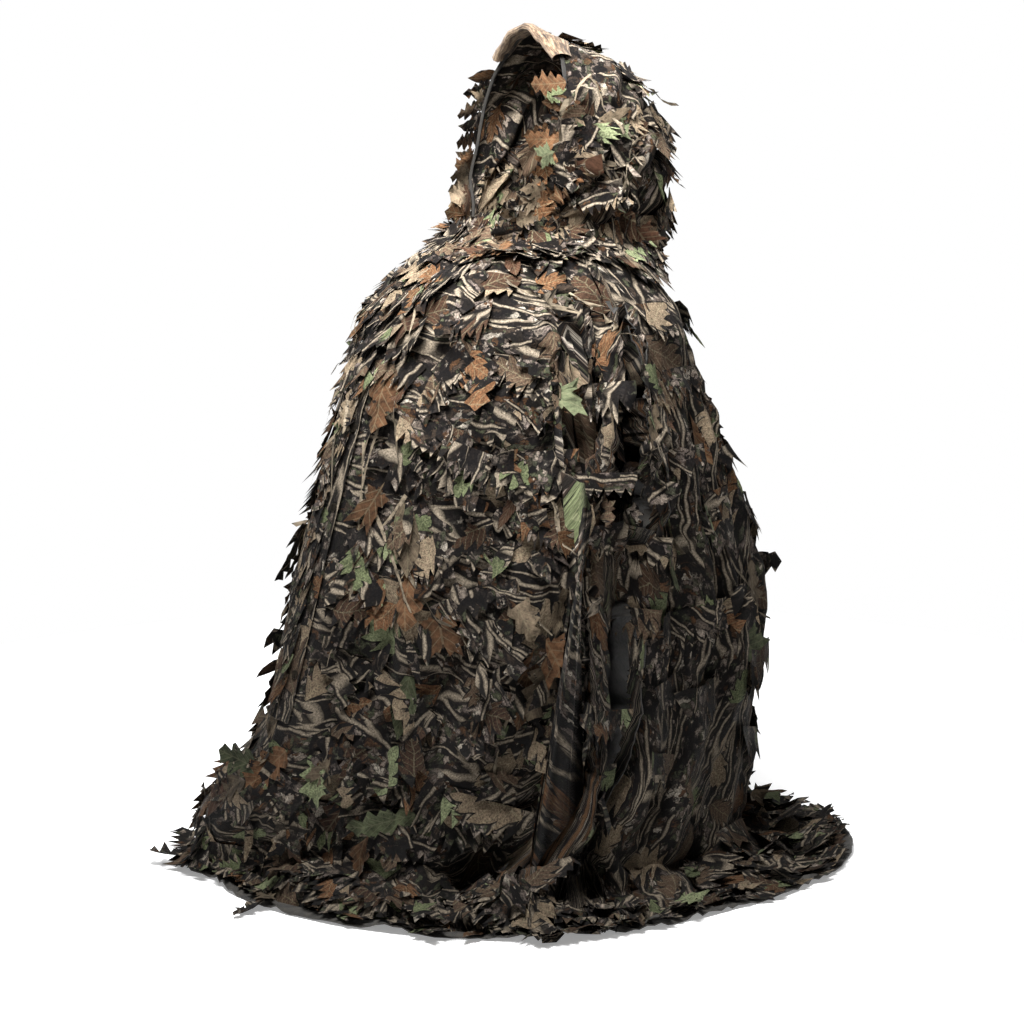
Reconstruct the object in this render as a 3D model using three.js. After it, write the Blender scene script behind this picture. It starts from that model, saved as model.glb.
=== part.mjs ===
// Hooded leaf-cut camouflage cape, standing as it drapes over a kneeling wearer.
// Millimetres, +Z up. The wearer faces -Y and the wearer's left is +X. The origin is
// the middle of the hem, on the floor.
import * as THREE from 'three';

// Cloth and clearances
const CLOTH = 3; // backing cloth with its seam turnings
const LEAF_CLOTH = 2; // a leaf strip
const TAPE = 1.2; // seam tapes, plackets and bindings
const CLEARANCE = 0.6; // between two layers that are sewn together

// Cape outline. Each level is a horizontal ellipse, centred `back` mm behind the hem's middle.
const NECK_HEIGHT = 985;
const NECK = { back: 68, halfWidth: 120, halfDepth: 130 };
const COLLAR_DROP = 36;
const YOKE_DROP = 85;
const SHOULDER_DROP = 137;
const FOOT_HEIGHT = 58; // where the hanging cloth meets the cloth on the floor
const MOUND_HEIGHT = 36; // crumpled cloth round the feet
const SKIRT_HEIGHT = 11;
const HEM_HALF_WIDTH = 442;
const HEM_HALF_DEPTH = 562;
const HEM_FLAT = 26; // cloth that lies flat inside the hem
const SHOULDER_HEIGHT = NECK_HEIGHT - SHOULDER_DROP;

function hangingHeight(share) {
  return SHOULDER_HEIGHT + (FOOT_HEIGHT - SHOULDER_HEIGHT) * share;
}

const LEVELS = [
  { height: NECK_HEIGHT, ...NECK },
  { height: NECK_HEIGHT - COLLAR_DROP, back: 40, halfWidth: 180, halfDepth: 164 },
  { height: NECK_HEIGHT - YOKE_DROP, back: 18, halfWidth: 236, halfDepth: 190 },
  { height: SHOULDER_HEIGHT, back: 14, halfWidth: 284, halfDepth: 232 },
  { height: hangingHeight(0.09), back: 4, halfWidth: 303, halfDepth: 268 },
  { height: hangingHeight(0.21), back: 6, halfWidth: 310, halfDepth: 299 },
  { height: hangingHeight(0.37), back: 10, halfWidth: 315, halfDepth: 342 },
  { height: hangingHeight(0.55), back: 10, halfWidth: 318, halfDepth: 380 },
  { height: hangingHeight(0.74), back: -6, halfWidth: 318, halfDepth: 407 },
  { height: hangingHeight(0.91), back: -44, halfWidth: 320, halfDepth: 421 },
  { height: FOOT_HEIGHT, back: -66, halfWidth: 332, halfDepth: 430 },
  { height: MOUND_HEIGHT, back: -46, halfWidth: 368, halfDepth: 462 },
  { height: SKIRT_HEIGHT, back: -16, halfWidth: 398, halfDepth: 512 },
  { height: 0, back: 0, halfWidth: HEM_HALF_WIDTH - HEM_FLAT, halfDepth: HEM_HALF_DEPTH - HEM_FLAT },
  { height: 0, back: 0, halfWidth: HEM_HALF_WIDTH, halfDepth: HEM_HALF_DEPTH },
];
const FLOOR_LEVEL = LEVELS.length - 2;
const STATION_SPACING = 56; // along the cloth, between rings of vertices
const ANGLE_STEP = 9; // degrees round the cape
const QUARTER = 90;

// Leaf strips on the cape
const ROW_STATIONS = 2; // from one strip to the next
const ROW_FLARE = 11; // how far a strip's points stand off the cloth
const ROW_START_ANGLE = ANGLE_STEP; // leaves the front opening clear

// Hem tape
const HEM_TAPE_WIDTH = 8;
const HEM_TAPE_HEIGHT = 4;

// Storm flap over the front opening, with its press studs
const FLAP_HALF_WIDTH = 35;
const FLAP_TOP_DROP = 190; // below the neck seam
const FLAP_BOTTOM_HEIGHT = 270;
const FLAP_STANDOFF = 3.4;
const STUD_COUNT = 4;
const STUD_RADIUS = 7;
const STUD_SIDES = 16;
const STUD_INSET = 13; // from the flap's free edge
const CAP_HEIGHT = 1.6;
const FLAP_ROW_COUNT = 3;
const FLAP_ROW_EDGE = 26; // strips stop this far short of the flap's free edge

// Tapes inside the cape
const SEAM_TAPE_WIDTH = 22;
const PLACKET_WIDTH = 26;
const OPENING_SETBACK = 2;
const NECK_BINDING_WIDTH = 15;
const THROAT_STEPS = 6; // binding's corners across the throat

// Hood
const HOOD_SEAM_RISE = 6; // hood seam above the cape's neck edge
const HOOD_FRONT_ANGLE = 42; // where the face opening meets the neck, from the front
const HOOD_REAR_ANGLE = 166;
const HOOD_BULGE = 46;
const HOOD_RISE = 289; // seam to the peak
const HOOD_PROFILE = [
  [-34, 1],
  [20, 0.975],
  [76, 0.87],
  [118, 0.7],
  [160, 0.36],
  [154, 0.1],
  [NECK.halfDepth, 0],
]; // behind the neck's centre, and share of HOOD_RISE
const HOOD_PANEL_SPLIT = 0.3; // crown panel's half width, as a share of an arch
const ARCH_STEPS = 10;
const PEAK_LENGTH = 24;
const PEAK_SPLIT = 0.46;
const HOOD_CLEARANCE = 1.05; // between two layers on the hood's curved cloth
const BINDING_SHARE = 0.06; // of the way round the arches
const FRINGE_LENGTH = 34;
const FRINGE_NOTCH = 12;
const FRINGE_END = 0.94; // share of an arch at which the fringe stops above the neck
const FRINGE_POINTS = 10;
const HOOD_ROW_COUNT = 3;
const HOOD_ROW_FLARE = 8;

const printedCloth = { color: 0x4a4338, roughness: 0.9, metalness: 0 };
const leafCloth = { color: 0x6d6a4a, roughness: 0.88, metalness: 0 };
const rustLeafCloth = { color: 0x7d5632, roughness: 0.88, metalness: 0 };
const darkTape = { color: 0x2b2823, roughness: 0.85, metalness: 0 };
const darkMetal = { color: 0x2d2c2a, roughness: 0.45, metalness: 0.8 };

// ---- Surfaces ----

const LEVEL_KEYS = ['height', 'back', 'halfWidth', 'halfDepth'];
const levelCurve = new THREE.CubicInterpolant(
  LEVELS.map((level, index) => index),
  LEVELS.flatMap((level) => LEVEL_KEYS.map((key) => level[key])),
  LEVEL_KEYS.length,
);

// A point on the inside of the cape's cloth. angle runs from the front towards the wearer's
// left, in degrees, and level counts down from the neck.
function capePoint(angle, level) {
  const [height, back, halfWidth, halfDepth] = levelCurve.evaluate(level);
  const turn = THREE.MathUtils.degToRad(angle);
  const lifted = level >= FLOOR_LEVEL ? 0 : Math.max(height, 0);
  return new THREE.Vector3(halfWidth * Math.sin(turn), back - halfDepth * Math.cos(turn), lifted);
}

function surfaceNormal(surface, u, v, du, dv) {
  const alongU = surface(u + du, v).sub(surface(u - du, v));
  const alongV = surface(u, v + dv).sub(surface(u, v - dv));
  return alongV.cross(alongU).normalize();
}

function capeNormal(angle, level) {
  const last = LEVELS.length - 1;
  const inside = THREE.MathUtils.clamp(level, 0.02, last - 0.02);
  return surfaceNormal(capePoint, angle, inside, 0.5, 0.02);
}

function capeOffset(angle, level, offset) {
  return capePoint(angle, level).addScaledVector(capeNormal(angle, level), offset);
}

// Levels at which the panels have vertices, spaced evenly along the cloth.
const STATIONS = [0];
for (let index = 0; index < LEVELS.length - 1; index += 1) {
  const length = capePoint(QUARTER * 2, index).distanceTo(capePoint(QUARTER * 2, index + 1));
  const steps = Math.max(1, Math.round(length / STATION_SPACING));
  for (let step = 1; step <= steps; step += 1) STATIONS.push(index + step / steps);
}

function stationBelow(height) {
  return STATIONS.findIndex((level) => capePoint(0, level).z <= height);
}

// ---- Closed shells from two grids of points ----

function solidFromGrids(outer, inner, closedAround) {
  const columns = outer.length;
  const rows = outer[0].length;
  const points = [...outer.flat(), ...inner.flat()];
  const at = (layer, column, row) => layer * columns * rows + (column % columns) * rows + row;
  const triangles = [];
  const quad = (a, b, c, d) => triangles.push(a, b, c, a, c, d);
  const columnEnd = closedAround ? columns : columns - 1;
  for (let column = 0; column < columnEnd; column += 1) {
    const next = column + 1;
    for (let row = 0; row < rows - 1; row += 1) {
      quad(at(0, column, row), at(0, column, row + 1), at(0, next, row + 1), at(0, next, row));
      quad(at(1, column, row), at(1, next, row), at(1, next, row + 1), at(1, column, row + 1));
    }
    quad(at(0, column, 0), at(0, next, 0), at(1, next, 0), at(1, column, 0));
    const last = rows - 1;
    quad(at(0, column, last), at(1, column, last), at(1, next, last), at(0, next, last));
  }
  if (!closedAround) {
    const end = columns - 1;
    for (let row = 0; row < rows - 1; row += 1) {
      quad(at(0, 0, row), at(1, 0, row), at(1, 0, row + 1), at(0, 0, row + 1));
      quad(at(0, end, row), at(0, end, row + 1), at(1, end, row + 1), at(1, end, row));
    }
  }
  return solid(points, triangles);
}

function solid(points, triangles) {
  let volume = 0;
  for (let index = 0; index < triangles.length; index += 3) {
    const [a, b, c] = [0, 1, 2].map((corner) => points[triangles[index + corner]]);
    volume += a.dot(b.clone().cross(c));
  }
  if (volume < 0) triangles.reverse();
  const geometry = new THREE.BufferGeometry();
  geometry.setAttribute('position', new THREE.Float32BufferAttribute(points.flatMap((p) => p.toArray()), 3));
  geometry.setIndex(triangles);
  return geometry;
}

function grid(columnCount, rowCount, point) {
  return Array.from({ length: columnCount }, (unusedColumn, column) =>
    Array.from({ length: rowCount }, (unusedRow, row) => point(column, row)));
}

function evenly(from, to, steps) {
  return Array.from({ length: steps + 1 }, (unused, step) => THREE.MathUtils.lerp(from, to, step / steps));
}

const cape = new THREE.Group();

function addMesh(name, geometry, finish) {
  const mesh = new THREE.Mesh(geometry, new THREE.MeshStandardMaterial(finish));
  mesh.name = name;
  cape.add(mesh);
  return mesh;
}

// ---- Cape panels: four quarters, from the neck seam to the hem ----

function capePanel(startAngle) {
  const columns = QUARTER / ANGLE_STEP + 1;
  const surface = (offset) => grid(columns, STATIONS.length, (column, row) => {
    const level = STATIONS[row];
    const around = capePoint(startAngle + 1, level).distanceTo(capePoint(startAngle, level));
    const halfGap = CLEARANCE / 2 / around;
    let angle = startAngle + column * ANGLE_STEP;
    if (column === 0) angle += halfGap;
    if (column === columns - 1) angle -= halfGap;
    return capeOffset(angle, level, offset);
  });
  return solidFromGrids(surface(CLOTH), surface(0), false);
}

addMesh('front_panel_left', capePanel(0), printedCloth);
addMesh('back_panel_left', capePanel(QUARTER), printedCloth);
addMesh('back_panel_right', capePanel(2 * QUARTER), printedCloth);
addMesh('front_panel_right', capePanel(3 * QUARTER), printedCloth);

// ---- Hem tape, flat on the floor round the hem ----

function hemRing(grow, height) {
  return grid(360 / ANGLE_STEP, 1, (column) => {
    const turn = THREE.MathUtils.degToRad(column * ANGLE_STEP);
    const halfWidth = HEM_HALF_WIDTH + grow;
    const halfDepth = HEM_HALF_DEPTH + grow;
    return new THREE.Vector3(halfWidth * Math.sin(turn), -halfDepth * Math.cos(turn), height);
  }).flat();
}

function hemTape() {
  const pair = (grow) => {
    const top = hemRing(grow, HEM_TAPE_HEIGHT);
    return hemRing(grow, 0).map((low, index) => [top[index], low]);
  };
  return solidFromGrids(pair(HEM_TAPE_WIDTH), pair(CLEARANCE), true);
}

addMesh('hem_tape', hemTape(), darkTape);

// ---- Tapes inside the cape, on the flat facets beside a seam ----

// A point `across` mm to the left of a seam line, on the straight facet between two columns.
function besideSeam(seamAngle, across, level, offset) {
  const side = Math.sign(across) || 1;
  const seam = capeOffset(seamAngle, level, offset);
  const next = capeOffset(seamAngle + side * ANGLE_STEP, level, offset);
  return seam.lerp(next, Math.abs(across) / seam.distanceTo(next));
}

function insideTape(seamAngle, edges, firstStation, lastStation) {
  const levels = STATIONS.slice(firstStation, lastStation + 1);
  const surface = (offset) => grid(edges.length, levels.length, (column, row) =>
    besideSeam(seamAngle, edges[column], levels[row], offset));
  return solidFromGrids(surface(-CLEARANCE), surface(-CLEARANCE - TAPE), false);
}

const footStation = stationBelow(FOOT_HEIGHT);
const seamEdges = [-SEAM_TAPE_WIDTH / 2, 0, SEAM_TAPE_WIDTH / 2];
const placketEdges = [OPENING_SETBACK, OPENING_SETBACK + PLACKET_WIDTH];
for (const [name, angle] of [['left_side', 1], ['back', 2], ['right_side', 3]]) {
  addMesh(`${name}_seam_tape`, insideTape(angle * QUARTER, seamEdges, 1, footStation), darkTape);
}
addMesh('placket_left', insideTape(0, placketEdges, 1, footStation), darkTape);
addMesh('placket_right', insideTape(0, placketEdges.map((edge) => -edge), 1, footStation), darkTape);

// ---- Neck binding: a band inside the neck seam, behind both edges that it joins ----

const hoodBase = NECK_HEIGHT + HOOD_SEAM_RISE;

// It has its corners where the hood's arches stand, so that the two lie parallel.
function neckBinding() {
  const low = hoodBase + CLEARANCE - NECK_BINDING_WIDTH / 2;
  const leftArches = evenly(HOOD_FRONT_ANGLE, HOOD_REAR_ANGLE, ARCH_STEPS);
  const rightArches = leftArches.map((angle) => 360 - angle).reverse();
  const throat = evenly(-HOOD_FRONT_ANGLE, HOOD_FRONT_ANGLE, THROAT_STEPS).slice(1, -1);
  const angles = [...throat, ...leftArches, ...rightArches];
  const wall = (shrink) => grid(angles.length, 2, (column, row) => {
    const turn = THREE.MathUtils.degToRad(angles[column]);
    return new THREE.Vector3(
      (NECK.halfWidth - shrink) * Math.sin(turn),
      NECK.back - (NECK.halfDepth - shrink) * Math.cos(turn),
      low + (1 - row) * NECK_BINDING_WIDTH,
    );
  });
  return solidFromGrids(wall(CLEARANCE), wall(CLEARANCE + TAPE), true);
}

addMesh('neck_binding', neckBinding(), darkTape);

// ---- Leaf strips on the cape: bands with pointed lower edges ----

// Column by column, a strip's lower edge runs to a point and back.
function leafStrip(columns, place) {
  const flares = [0, 0.45, 1];
  const surface = (thickness) => grid(columns, flares.length, (column, row) =>
    place(column, row, row === 2 && column % 2 === 0, flares[row] * ROW_FLARE + thickness));
  return solidFromGrids(surface(LEAF_CLOTH), surface(0), false);
}

function capeRow(firstStation) {
  const columns = (360 - 2 * ROW_START_ANGLE) / ANGLE_STEP + 1;
  return leafStrip(columns, (column, row, valley, offset) => {
    const lower = STATIONS[firstStation + row];
    const upper = STATIONS[firstStation + Math.max(row - 1, 0)];
    const level = valley ? THREE.MathUtils.lerp(upper, lower, 0.3) : lower - (row === 2 ? 0.04 : 0);
    return capeOffset(ROW_START_ANGLE + column * ANGLE_STEP, level, CLOTH + CLEARANCE + offset);
  });
}

const rowCount = Math.floor((footStation - 1) / ROW_STATIONS);
for (let row = 0; row < rowCount; row += 1) {
  const finish = row % 2 ? rustLeafCloth : leafCloth;
  addMesh(`leaf_row_${row + 1}`, capeRow(1 + row * ROW_STATIONS), finish);
}

// ---- Storm flap: a strip over the front opening, turning about its right-hand edge ----

const flapFirst = stationBelow(NECK_HEIGHT - FLAP_TOP_DROP);
const flapLast = stationBelow(FLAP_BOTTOM_HEIGHT);
const flapLevels = STATIONS.slice(flapFirst, flapLast + 1);
const FLAP_INNER = CLOTH + FLAP_STANDOFF;
const FLAP_OUTER = FLAP_INNER + CLOTH;

function flapShell(edges, levels, inner, outer) {
  const surface = (offset) => grid(edges.length, levels.length, (column, row) =>
    besideSeam(0, edges[column], levels[row], offset));
  return solidFromGrids(surface(outer), surface(inner), false);
}

const flapEdges = [-FLAP_HALF_WIDTH, 0, FLAP_HALF_WIDTH];
addMesh('storm_flap', flapShell(flapEdges, flapLevels, FLAP_INNER, FLAP_OUTER), printedCloth);

for (let row = 0; row < FLAP_ROW_COUNT; row += 1) {
  const share = Math.floor((row * (flapLevels.length - 1)) / FLAP_ROW_COUNT);
  const start = flapFirst + share;
  const edges = [-FLAP_HALF_WIDTH, 0, FLAP_HALF_WIDTH - FLAP_ROW_EDGE];
  const levels = [STATIONS[start], STATIONS[start + 1] - 0.06];
  const inner = FLAP_OUTER + CLEARANCE;
  addMesh(`flap_leaf_row_${row + 1}`, flapShell(edges, levels, inner, inner + LEAF_CLOTH), leafCloth);
}

// Press studs: each stud stands on the front panel, its cap on the flap, on one axis.
function addStud(index) {
  const share = (index + 0.5) / STUD_COUNT;
  const station = flapFirst + Math.floor(share * (flapLevels.length - 1));
  const across = FLAP_HALF_WIDTH - STUD_INSET;
  const corners = [[0, 0], [ANGLE_STEP, 0], [0, 1], [ANGLE_STEP, 1]].map(([angle, step]) =>
    capeOffset(angle, STATIONS[station + step], CLOTH));
  const width = corners[0].distanceTo(corners[1]);
  const foot = corners[0].clone().lerp(corners[1], across / width)
    .lerp(corners[2].clone().lerp(corners[3], across / width), 0.5);
  const right = corners[1].clone().sub(corners[0]);
  const down = corners[2].clone().sub(corners[0]);
  const outward = down.cross(right).normalize();
  const disc = (name, start, height) => {
    const geometry = new THREE.CylinderGeometry(STUD_RADIUS, STUD_RADIUS, height, STUD_SIDES);
    const mesh = addMesh(name, geometry, darkMetal);
    mesh.quaternion.setFromUnitVectors(new THREE.Vector3(0, 1, 0), outward);
    mesh.position.copy(foot).addScaledVector(outward, start + height / 2);
  };
  disc(`snap_stud_${index + 1}`, CLEARANCE, FLAP_STANDOFF - 2 * CLEARANCE);
  disc(`snap_cap_${index + 1}`, FLAP_STANDOFF + CLOTH + CLEARANCE, CAP_HEIGHT);
}

for (let index = 0; index < STUD_COUNT; index += 1) addStud(index);

// ---- Hood: a fan of arches from the face opening to the back of the neck ----

const profile = new THREE.CatmullRomCurve3(
  HOOD_PROFILE.map(([behind, share]) => new THREE.Vector3(0, NECK.back + behind, hoodBase + share * HOOD_RISE)),
);

// arch runs from 0 at the opening to 1 at the back of the neck, and below 0 it reaches
// forward of the opening, one unit per mm. across runs from -1 at the left end to 1 at the right.
function hoodPoint(arch, across) {
  const share = THREE.MathUtils.clamp(arch, 0, 1);
  const angle = THREE.MathUtils.lerp(HOOD_FRONT_ANGLE, HOOD_REAR_ANGLE, share);
  const turn = THREE.MathUtils.degToRad(angle);
  const footX = NECK.halfWidth * Math.sin(turn);
  const footY = NECK.back - NECK.halfDepth * Math.cos(turn);
  const crown = profile.getPoint(share);
  const side = 1 - Math.abs(across);
  const rise = Math.sin((side * Math.PI) / 2);
  const narrowing = Math.sqrt(Math.max(Math.cos((side * Math.PI) / 2), 0));
  const bulge = HOOD_BULGE * (1 - share) ** 0.7 * Math.sin(side * Math.PI);
  return new THREE.Vector3(
    -Math.sign(across) * (footX + bulge) * narrowing,
    THREE.MathUtils.lerp(footY, crown.y, rise) + Math.min(arch, 0),
    THREE.MathUtils.lerp(hoodBase, crown.z, rise),
  );
}

function hoodOffset(arch, across, offset) {
  const inside = THREE.MathUtils.clamp(arch, 0.02, 0.98);
  const clear = Math.abs(across) < 0.03 ? 0.03 : Math.min(Math.abs(across), 0.98);
  const sided = (Math.sign(across) || 1) * clear;
  const normal = surfaceNormal(hoodPoint, inside, sided, 0.02, 0.02).negate();
  if (Math.abs(across) < 0.001) normal.setX(0).normalize();
  return hoodPoint(arch, across).addScaledVector(normal, offset);
}

const ARCHES = evenly(0, 1, ARCH_STEPS);
const panelGap = CLEARANCE / 2 / HOOD_RISE;
const sideSpan = evenly(HOOD_PANEL_SPLIT + panelGap, 1, 5);
const crownSpan = evenly(-HOOD_PANEL_SPLIT + panelGap, HOOD_PANEL_SPLIT - panelGap, 4);
const leftSpan = sideSpan.map((across) => -across).reverse();
const SPANS = [leftSpan, crownSpan, sideSpan];

function hoodShell(arches, acrosses) {
  const surface = (offset) => grid(acrosses.length, arches.length, (column, row) =>
    hoodOffset(arches[row], acrosses[column], offset));
  return solidFromGrids(surface(CLOTH), surface(0), false);
}

addMesh('hood_panel_left', hoodShell(ARCHES, leftSpan), printedCloth);
addMesh('hood_panel_crown', hoodShell(ARCHES, crownSpan), printedCloth);
addMesh('hood_panel_right', hoodShell(ARCHES, sideSpan), printedCloth);
addMesh('hood_peak', hoodShell([-PEAK_LENGTH, -CLEARANCE], evenly(-PEAK_SPLIT, PEAK_SPLIT, 6)), printedCloth);

// A point offset from the hood's flat facets, so that layers sewn to it lie parallel to them.
function hoodFacet(arch, across, offset) {
  const columns = SPANS.flat();
  const right = THREE.MathUtils.clamp(columns.findIndex((value) => value >= across - 1e-6), 1, columns.length - 1);
  const column = [columns[right - 1], columns[right]];
  const shareAcross = (across - column[0]) / (column[1] - column[0]);
  const between = (at) => hoodOffset(at, column[0], offset).lerp(hoodOffset(at, column[1], offset), shareAcross);
  if (arch < 0) return between(arch);
  const step = Math.min(Math.floor(arch * ARCH_STEPS + 1e-6), ARCH_STEPS - 1);
  return between(ARCHES[step]).lerp(between(ARCHES[step + 1]), arch * ARCH_STEPS - step);
}

// Layers on the hood. rows lists each line of the layer: its place along the arches, the place
// that every second column takes, and how far it stands off.
function hoodLayer(acrosses, rows, near, far) {
  const surface = (offset) => grid(acrosses.length, rows.length, (column, row) => {
    const { arch, notch = arch, flare = 0 } = rows[row];
    return hoodFacet(column % 2 ? notch : arch, acrosses[column], offset + flare);
  });
  return solidFromGrids(surface(far), surface(near), false);
}

const bindingRows = [{ arch: 0.002 }, { arch: BINDING_SHARE }];
const bindingSpan = SPANS.flat().filter((across) => Math.abs(across) < 1);
addMesh(
  'hood_opening_binding',
  hoodLayer(bindingSpan, bindingRows, -HOOD_CLEARANCE - TAPE, -HOOD_CLEARANCE),
  darkTape,
);

const onHood = CLOTH + HOOD_CLEARANCE;
const fringeRows = [
  { arch: 1 / ARCH_STEPS },
  { arch: 0, flare: HOOD_ROW_FLARE / 4 },
  { arch: -FRINGE_LENGTH, notch: -FRINGE_NOTCH, flare: HOOD_ROW_FLARE },
];
const fringeSpan = evenly(PEAK_SPLIT, FRINGE_END, FRINGE_POINTS);
addMesh('hood_fringe_right', hoodLayer(fringeSpan, fringeRows, onHood, onHood + LEAF_CLOTH), rustLeafCloth);
const fringeLeft = fringeSpan.map((across) => -across).reverse();
addMesh('hood_fringe_left', hoodLayer(fringeLeft, fringeRows, onHood, onHood + LEAF_CLOTH), rustLeafCloth);

const rowSpan = [...leftSpan.slice(1), ...crownSpan.slice(1, -1), ...sideSpan.slice(0, -1)];
for (let row = 0; row < HOOD_ROW_COUNT; row += 1) {
  const top = (2 + 2 * row) / ARCH_STEPS;
  const rows = [
    { arch: top },
    { arch: top + 1 / ARCH_STEPS, flare: HOOD_ROW_FLARE / 2 },
    { arch: top + 1.7 / ARCH_STEPS, notch: top + 1.2 / ARCH_STEPS, flare: HOOD_ROW_FLARE },
  ];
  addMesh(`hood_leaf_row_${row + 1}`, hoodLayer(rowSpan, rows, onHood, onHood + LEAF_CLOTH), leafCloth);
}

export default cape;
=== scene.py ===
# Hooded cape of printed camouflage cloth, covered in leaf-cut strips, draped to the floor.
import math
import bpy
import numpy as np
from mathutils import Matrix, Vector, noise
from mathutils.bvhtree import BVHTree


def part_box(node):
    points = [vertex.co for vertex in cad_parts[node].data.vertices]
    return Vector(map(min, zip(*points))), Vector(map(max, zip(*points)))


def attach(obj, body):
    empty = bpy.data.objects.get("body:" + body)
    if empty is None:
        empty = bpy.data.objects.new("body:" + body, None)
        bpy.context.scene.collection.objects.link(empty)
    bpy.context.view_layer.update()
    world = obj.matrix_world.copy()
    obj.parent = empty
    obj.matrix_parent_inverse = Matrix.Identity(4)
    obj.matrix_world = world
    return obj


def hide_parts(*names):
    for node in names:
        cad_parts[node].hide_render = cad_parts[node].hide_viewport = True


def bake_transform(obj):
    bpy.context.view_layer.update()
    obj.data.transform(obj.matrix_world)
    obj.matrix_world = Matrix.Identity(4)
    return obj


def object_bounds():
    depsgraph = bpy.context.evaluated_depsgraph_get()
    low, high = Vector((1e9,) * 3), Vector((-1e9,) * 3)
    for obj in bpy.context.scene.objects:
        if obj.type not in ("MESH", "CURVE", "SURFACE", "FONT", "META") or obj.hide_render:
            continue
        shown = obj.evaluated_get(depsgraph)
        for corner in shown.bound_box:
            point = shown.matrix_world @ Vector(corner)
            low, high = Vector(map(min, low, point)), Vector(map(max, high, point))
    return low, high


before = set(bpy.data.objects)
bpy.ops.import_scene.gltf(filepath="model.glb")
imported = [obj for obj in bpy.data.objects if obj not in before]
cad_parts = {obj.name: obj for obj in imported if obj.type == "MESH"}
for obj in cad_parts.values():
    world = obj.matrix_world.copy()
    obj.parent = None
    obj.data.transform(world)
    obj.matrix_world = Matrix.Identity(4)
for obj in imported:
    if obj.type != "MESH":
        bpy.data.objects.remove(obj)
cad_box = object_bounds()
bpy.ops.object.select_all(action="DESELECT")

# ---------------------------------------------------------------------------------------
# The room. A plain white floor, a white sky, three large soft lights and one long-lens
# camera on the wearer's left, a little in front.
# ---------------------------------------------------------------------------------------
low_corner, high_corner = (np.array(corner) for corner in cad_box)
height = high_corner[2] - low_corner[2]
camera_turn = math.radians(60)
camera_rise = math.radians(12)
camera_distance = 5.2
aim = Vector((-0.003, -0.005, 0.425 * height))
toward_camera = Vector((
    math.sin(camera_turn) * math.cos(camera_rise),
    -math.cos(camera_turn) * math.cos(camera_rise),
    math.sin(camera_rise),
))
bpy.ops.object.camera_add(location=aim + toward_camera * camera_distance)
camera = bpy.context.object
camera.rotation_euler = (-toward_camera).to_track_quat("-Z", "Y").to_euler()
camera.data.lens = 117
bpy.context.scene.camera = camera

bpy.ops.mesh.primitive_circle_add(vertices=96, radius=1.65, fill_type="NGON")
floor = bpy.context.object
floor.name = "floor"
floor_paint = bpy.data.materials.new("pale floor")
floor_paint.use_nodes = True
floor_shader = floor_paint.node_tree.nodes["Principled BSDF"]
floor_shader.inputs["Base Color"].default_value = (0.93, 0.93, 0.93, 1)
floor_shader.inputs["Roughness"].default_value = 0.9
floor_shader.inputs["Emission Color"].default_value = (1, 1, 1, 1)
floor_shader.inputs["Emission Strength"].default_value = 0.28
floor.data.materials.append(floor_paint)

sky = bpy.data.worlds.new("white studio")
bpy.context.scene.world = sky
sky.use_nodes = True
backdrop = sky.node_tree.nodes["Background"]
seen = sky.node_tree.nodes.new("ShaderNodeLightPath")
strength = sky.node_tree.nodes.new("ShaderNodeMapRange")
strength.inputs["To Min"].default_value = 0.11
strength.inputs["To Max"].default_value = 1.0
sky.node_tree.links.new(seen.outputs["Is Camera Ray"], strength.inputs["Value"])
sky.node_tree.links.new(strength.outputs[0], backdrop.inputs["Strength"])
backdrop.inputs["Color"].default_value = (1, 1, 1, 1)
bpy.context.scene.view_settings.view_transform = "Standard"


def soft_light(turn_deg, rise_deg, distance, size, power, target=aim):
    turn, rise = math.radians(turn_deg), math.radians(rise_deg)
    way = Vector((math.sin(turn) * math.cos(rise), -math.cos(turn) * math.cos(rise), math.sin(rise)))
    bpy.ops.object.light_add(type="AREA", location=target + way * distance)
    lamp = bpy.context.object
    lamp.data.energy = power
    lamp.data.size = size
    lamp.rotation_euler = (-way).to_track_quat("-Z", "Y").to_euler()


soft_light(40, 50, 1.45, 0.9, 112, Vector((0, 0, 0.97 * height)))
soft_light(95, 78, 3.0, 2.0, 34)
soft_light(250, 66, 3.2, 2.2, 60)

# ---------------------------------------------------------------------------------------
# The camouflage print. Matte polyester printed with a dark forest floor: bark, litter,
# twigs and leaves. Printed cloth, leaves and strips all take it from this one group.
# ---------------------------------------------------------------------------------------
DARK = [(0.0, (0.0025, 0.002, 0.0022)), (0.5, (0.007, 0.0055, 0.0045)), (1.0, (0.04, 0.03, 0.021))]
LITTER = [
    (0.0, (0.012, 0.01, 0.009)), (0.2, (0.06, 0.042, 0.03)), (0.34, (0.15, 0.118, 0.095)),
    (0.46, (0.36, 0.295, 0.24)), (0.56, (0.09, 0.095, 0.055)), (0.66, (0.22, 0.175, 0.15)),
    (0.76, (0.1, 0.05, 0.024)), (0.86, (0.075, 0.075, 0.05)), (0.94, (0.5, 0.44, 0.36)),
]
LEAF = [
    (0.0, (0.13, 0.15, 0.075)), (0.14, (0.23, 0.26, 0.14)), (0.24, (0.14, 0.068, 0.032)),
    (0.36, (0.1, 0.065, 0.042)), (0.6, (0.055, 0.03, 0.018)), (0.78, (0.24, 0.18, 0.12)),
]
BARK = (0.31, 0.255, 0.19, 1)


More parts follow.
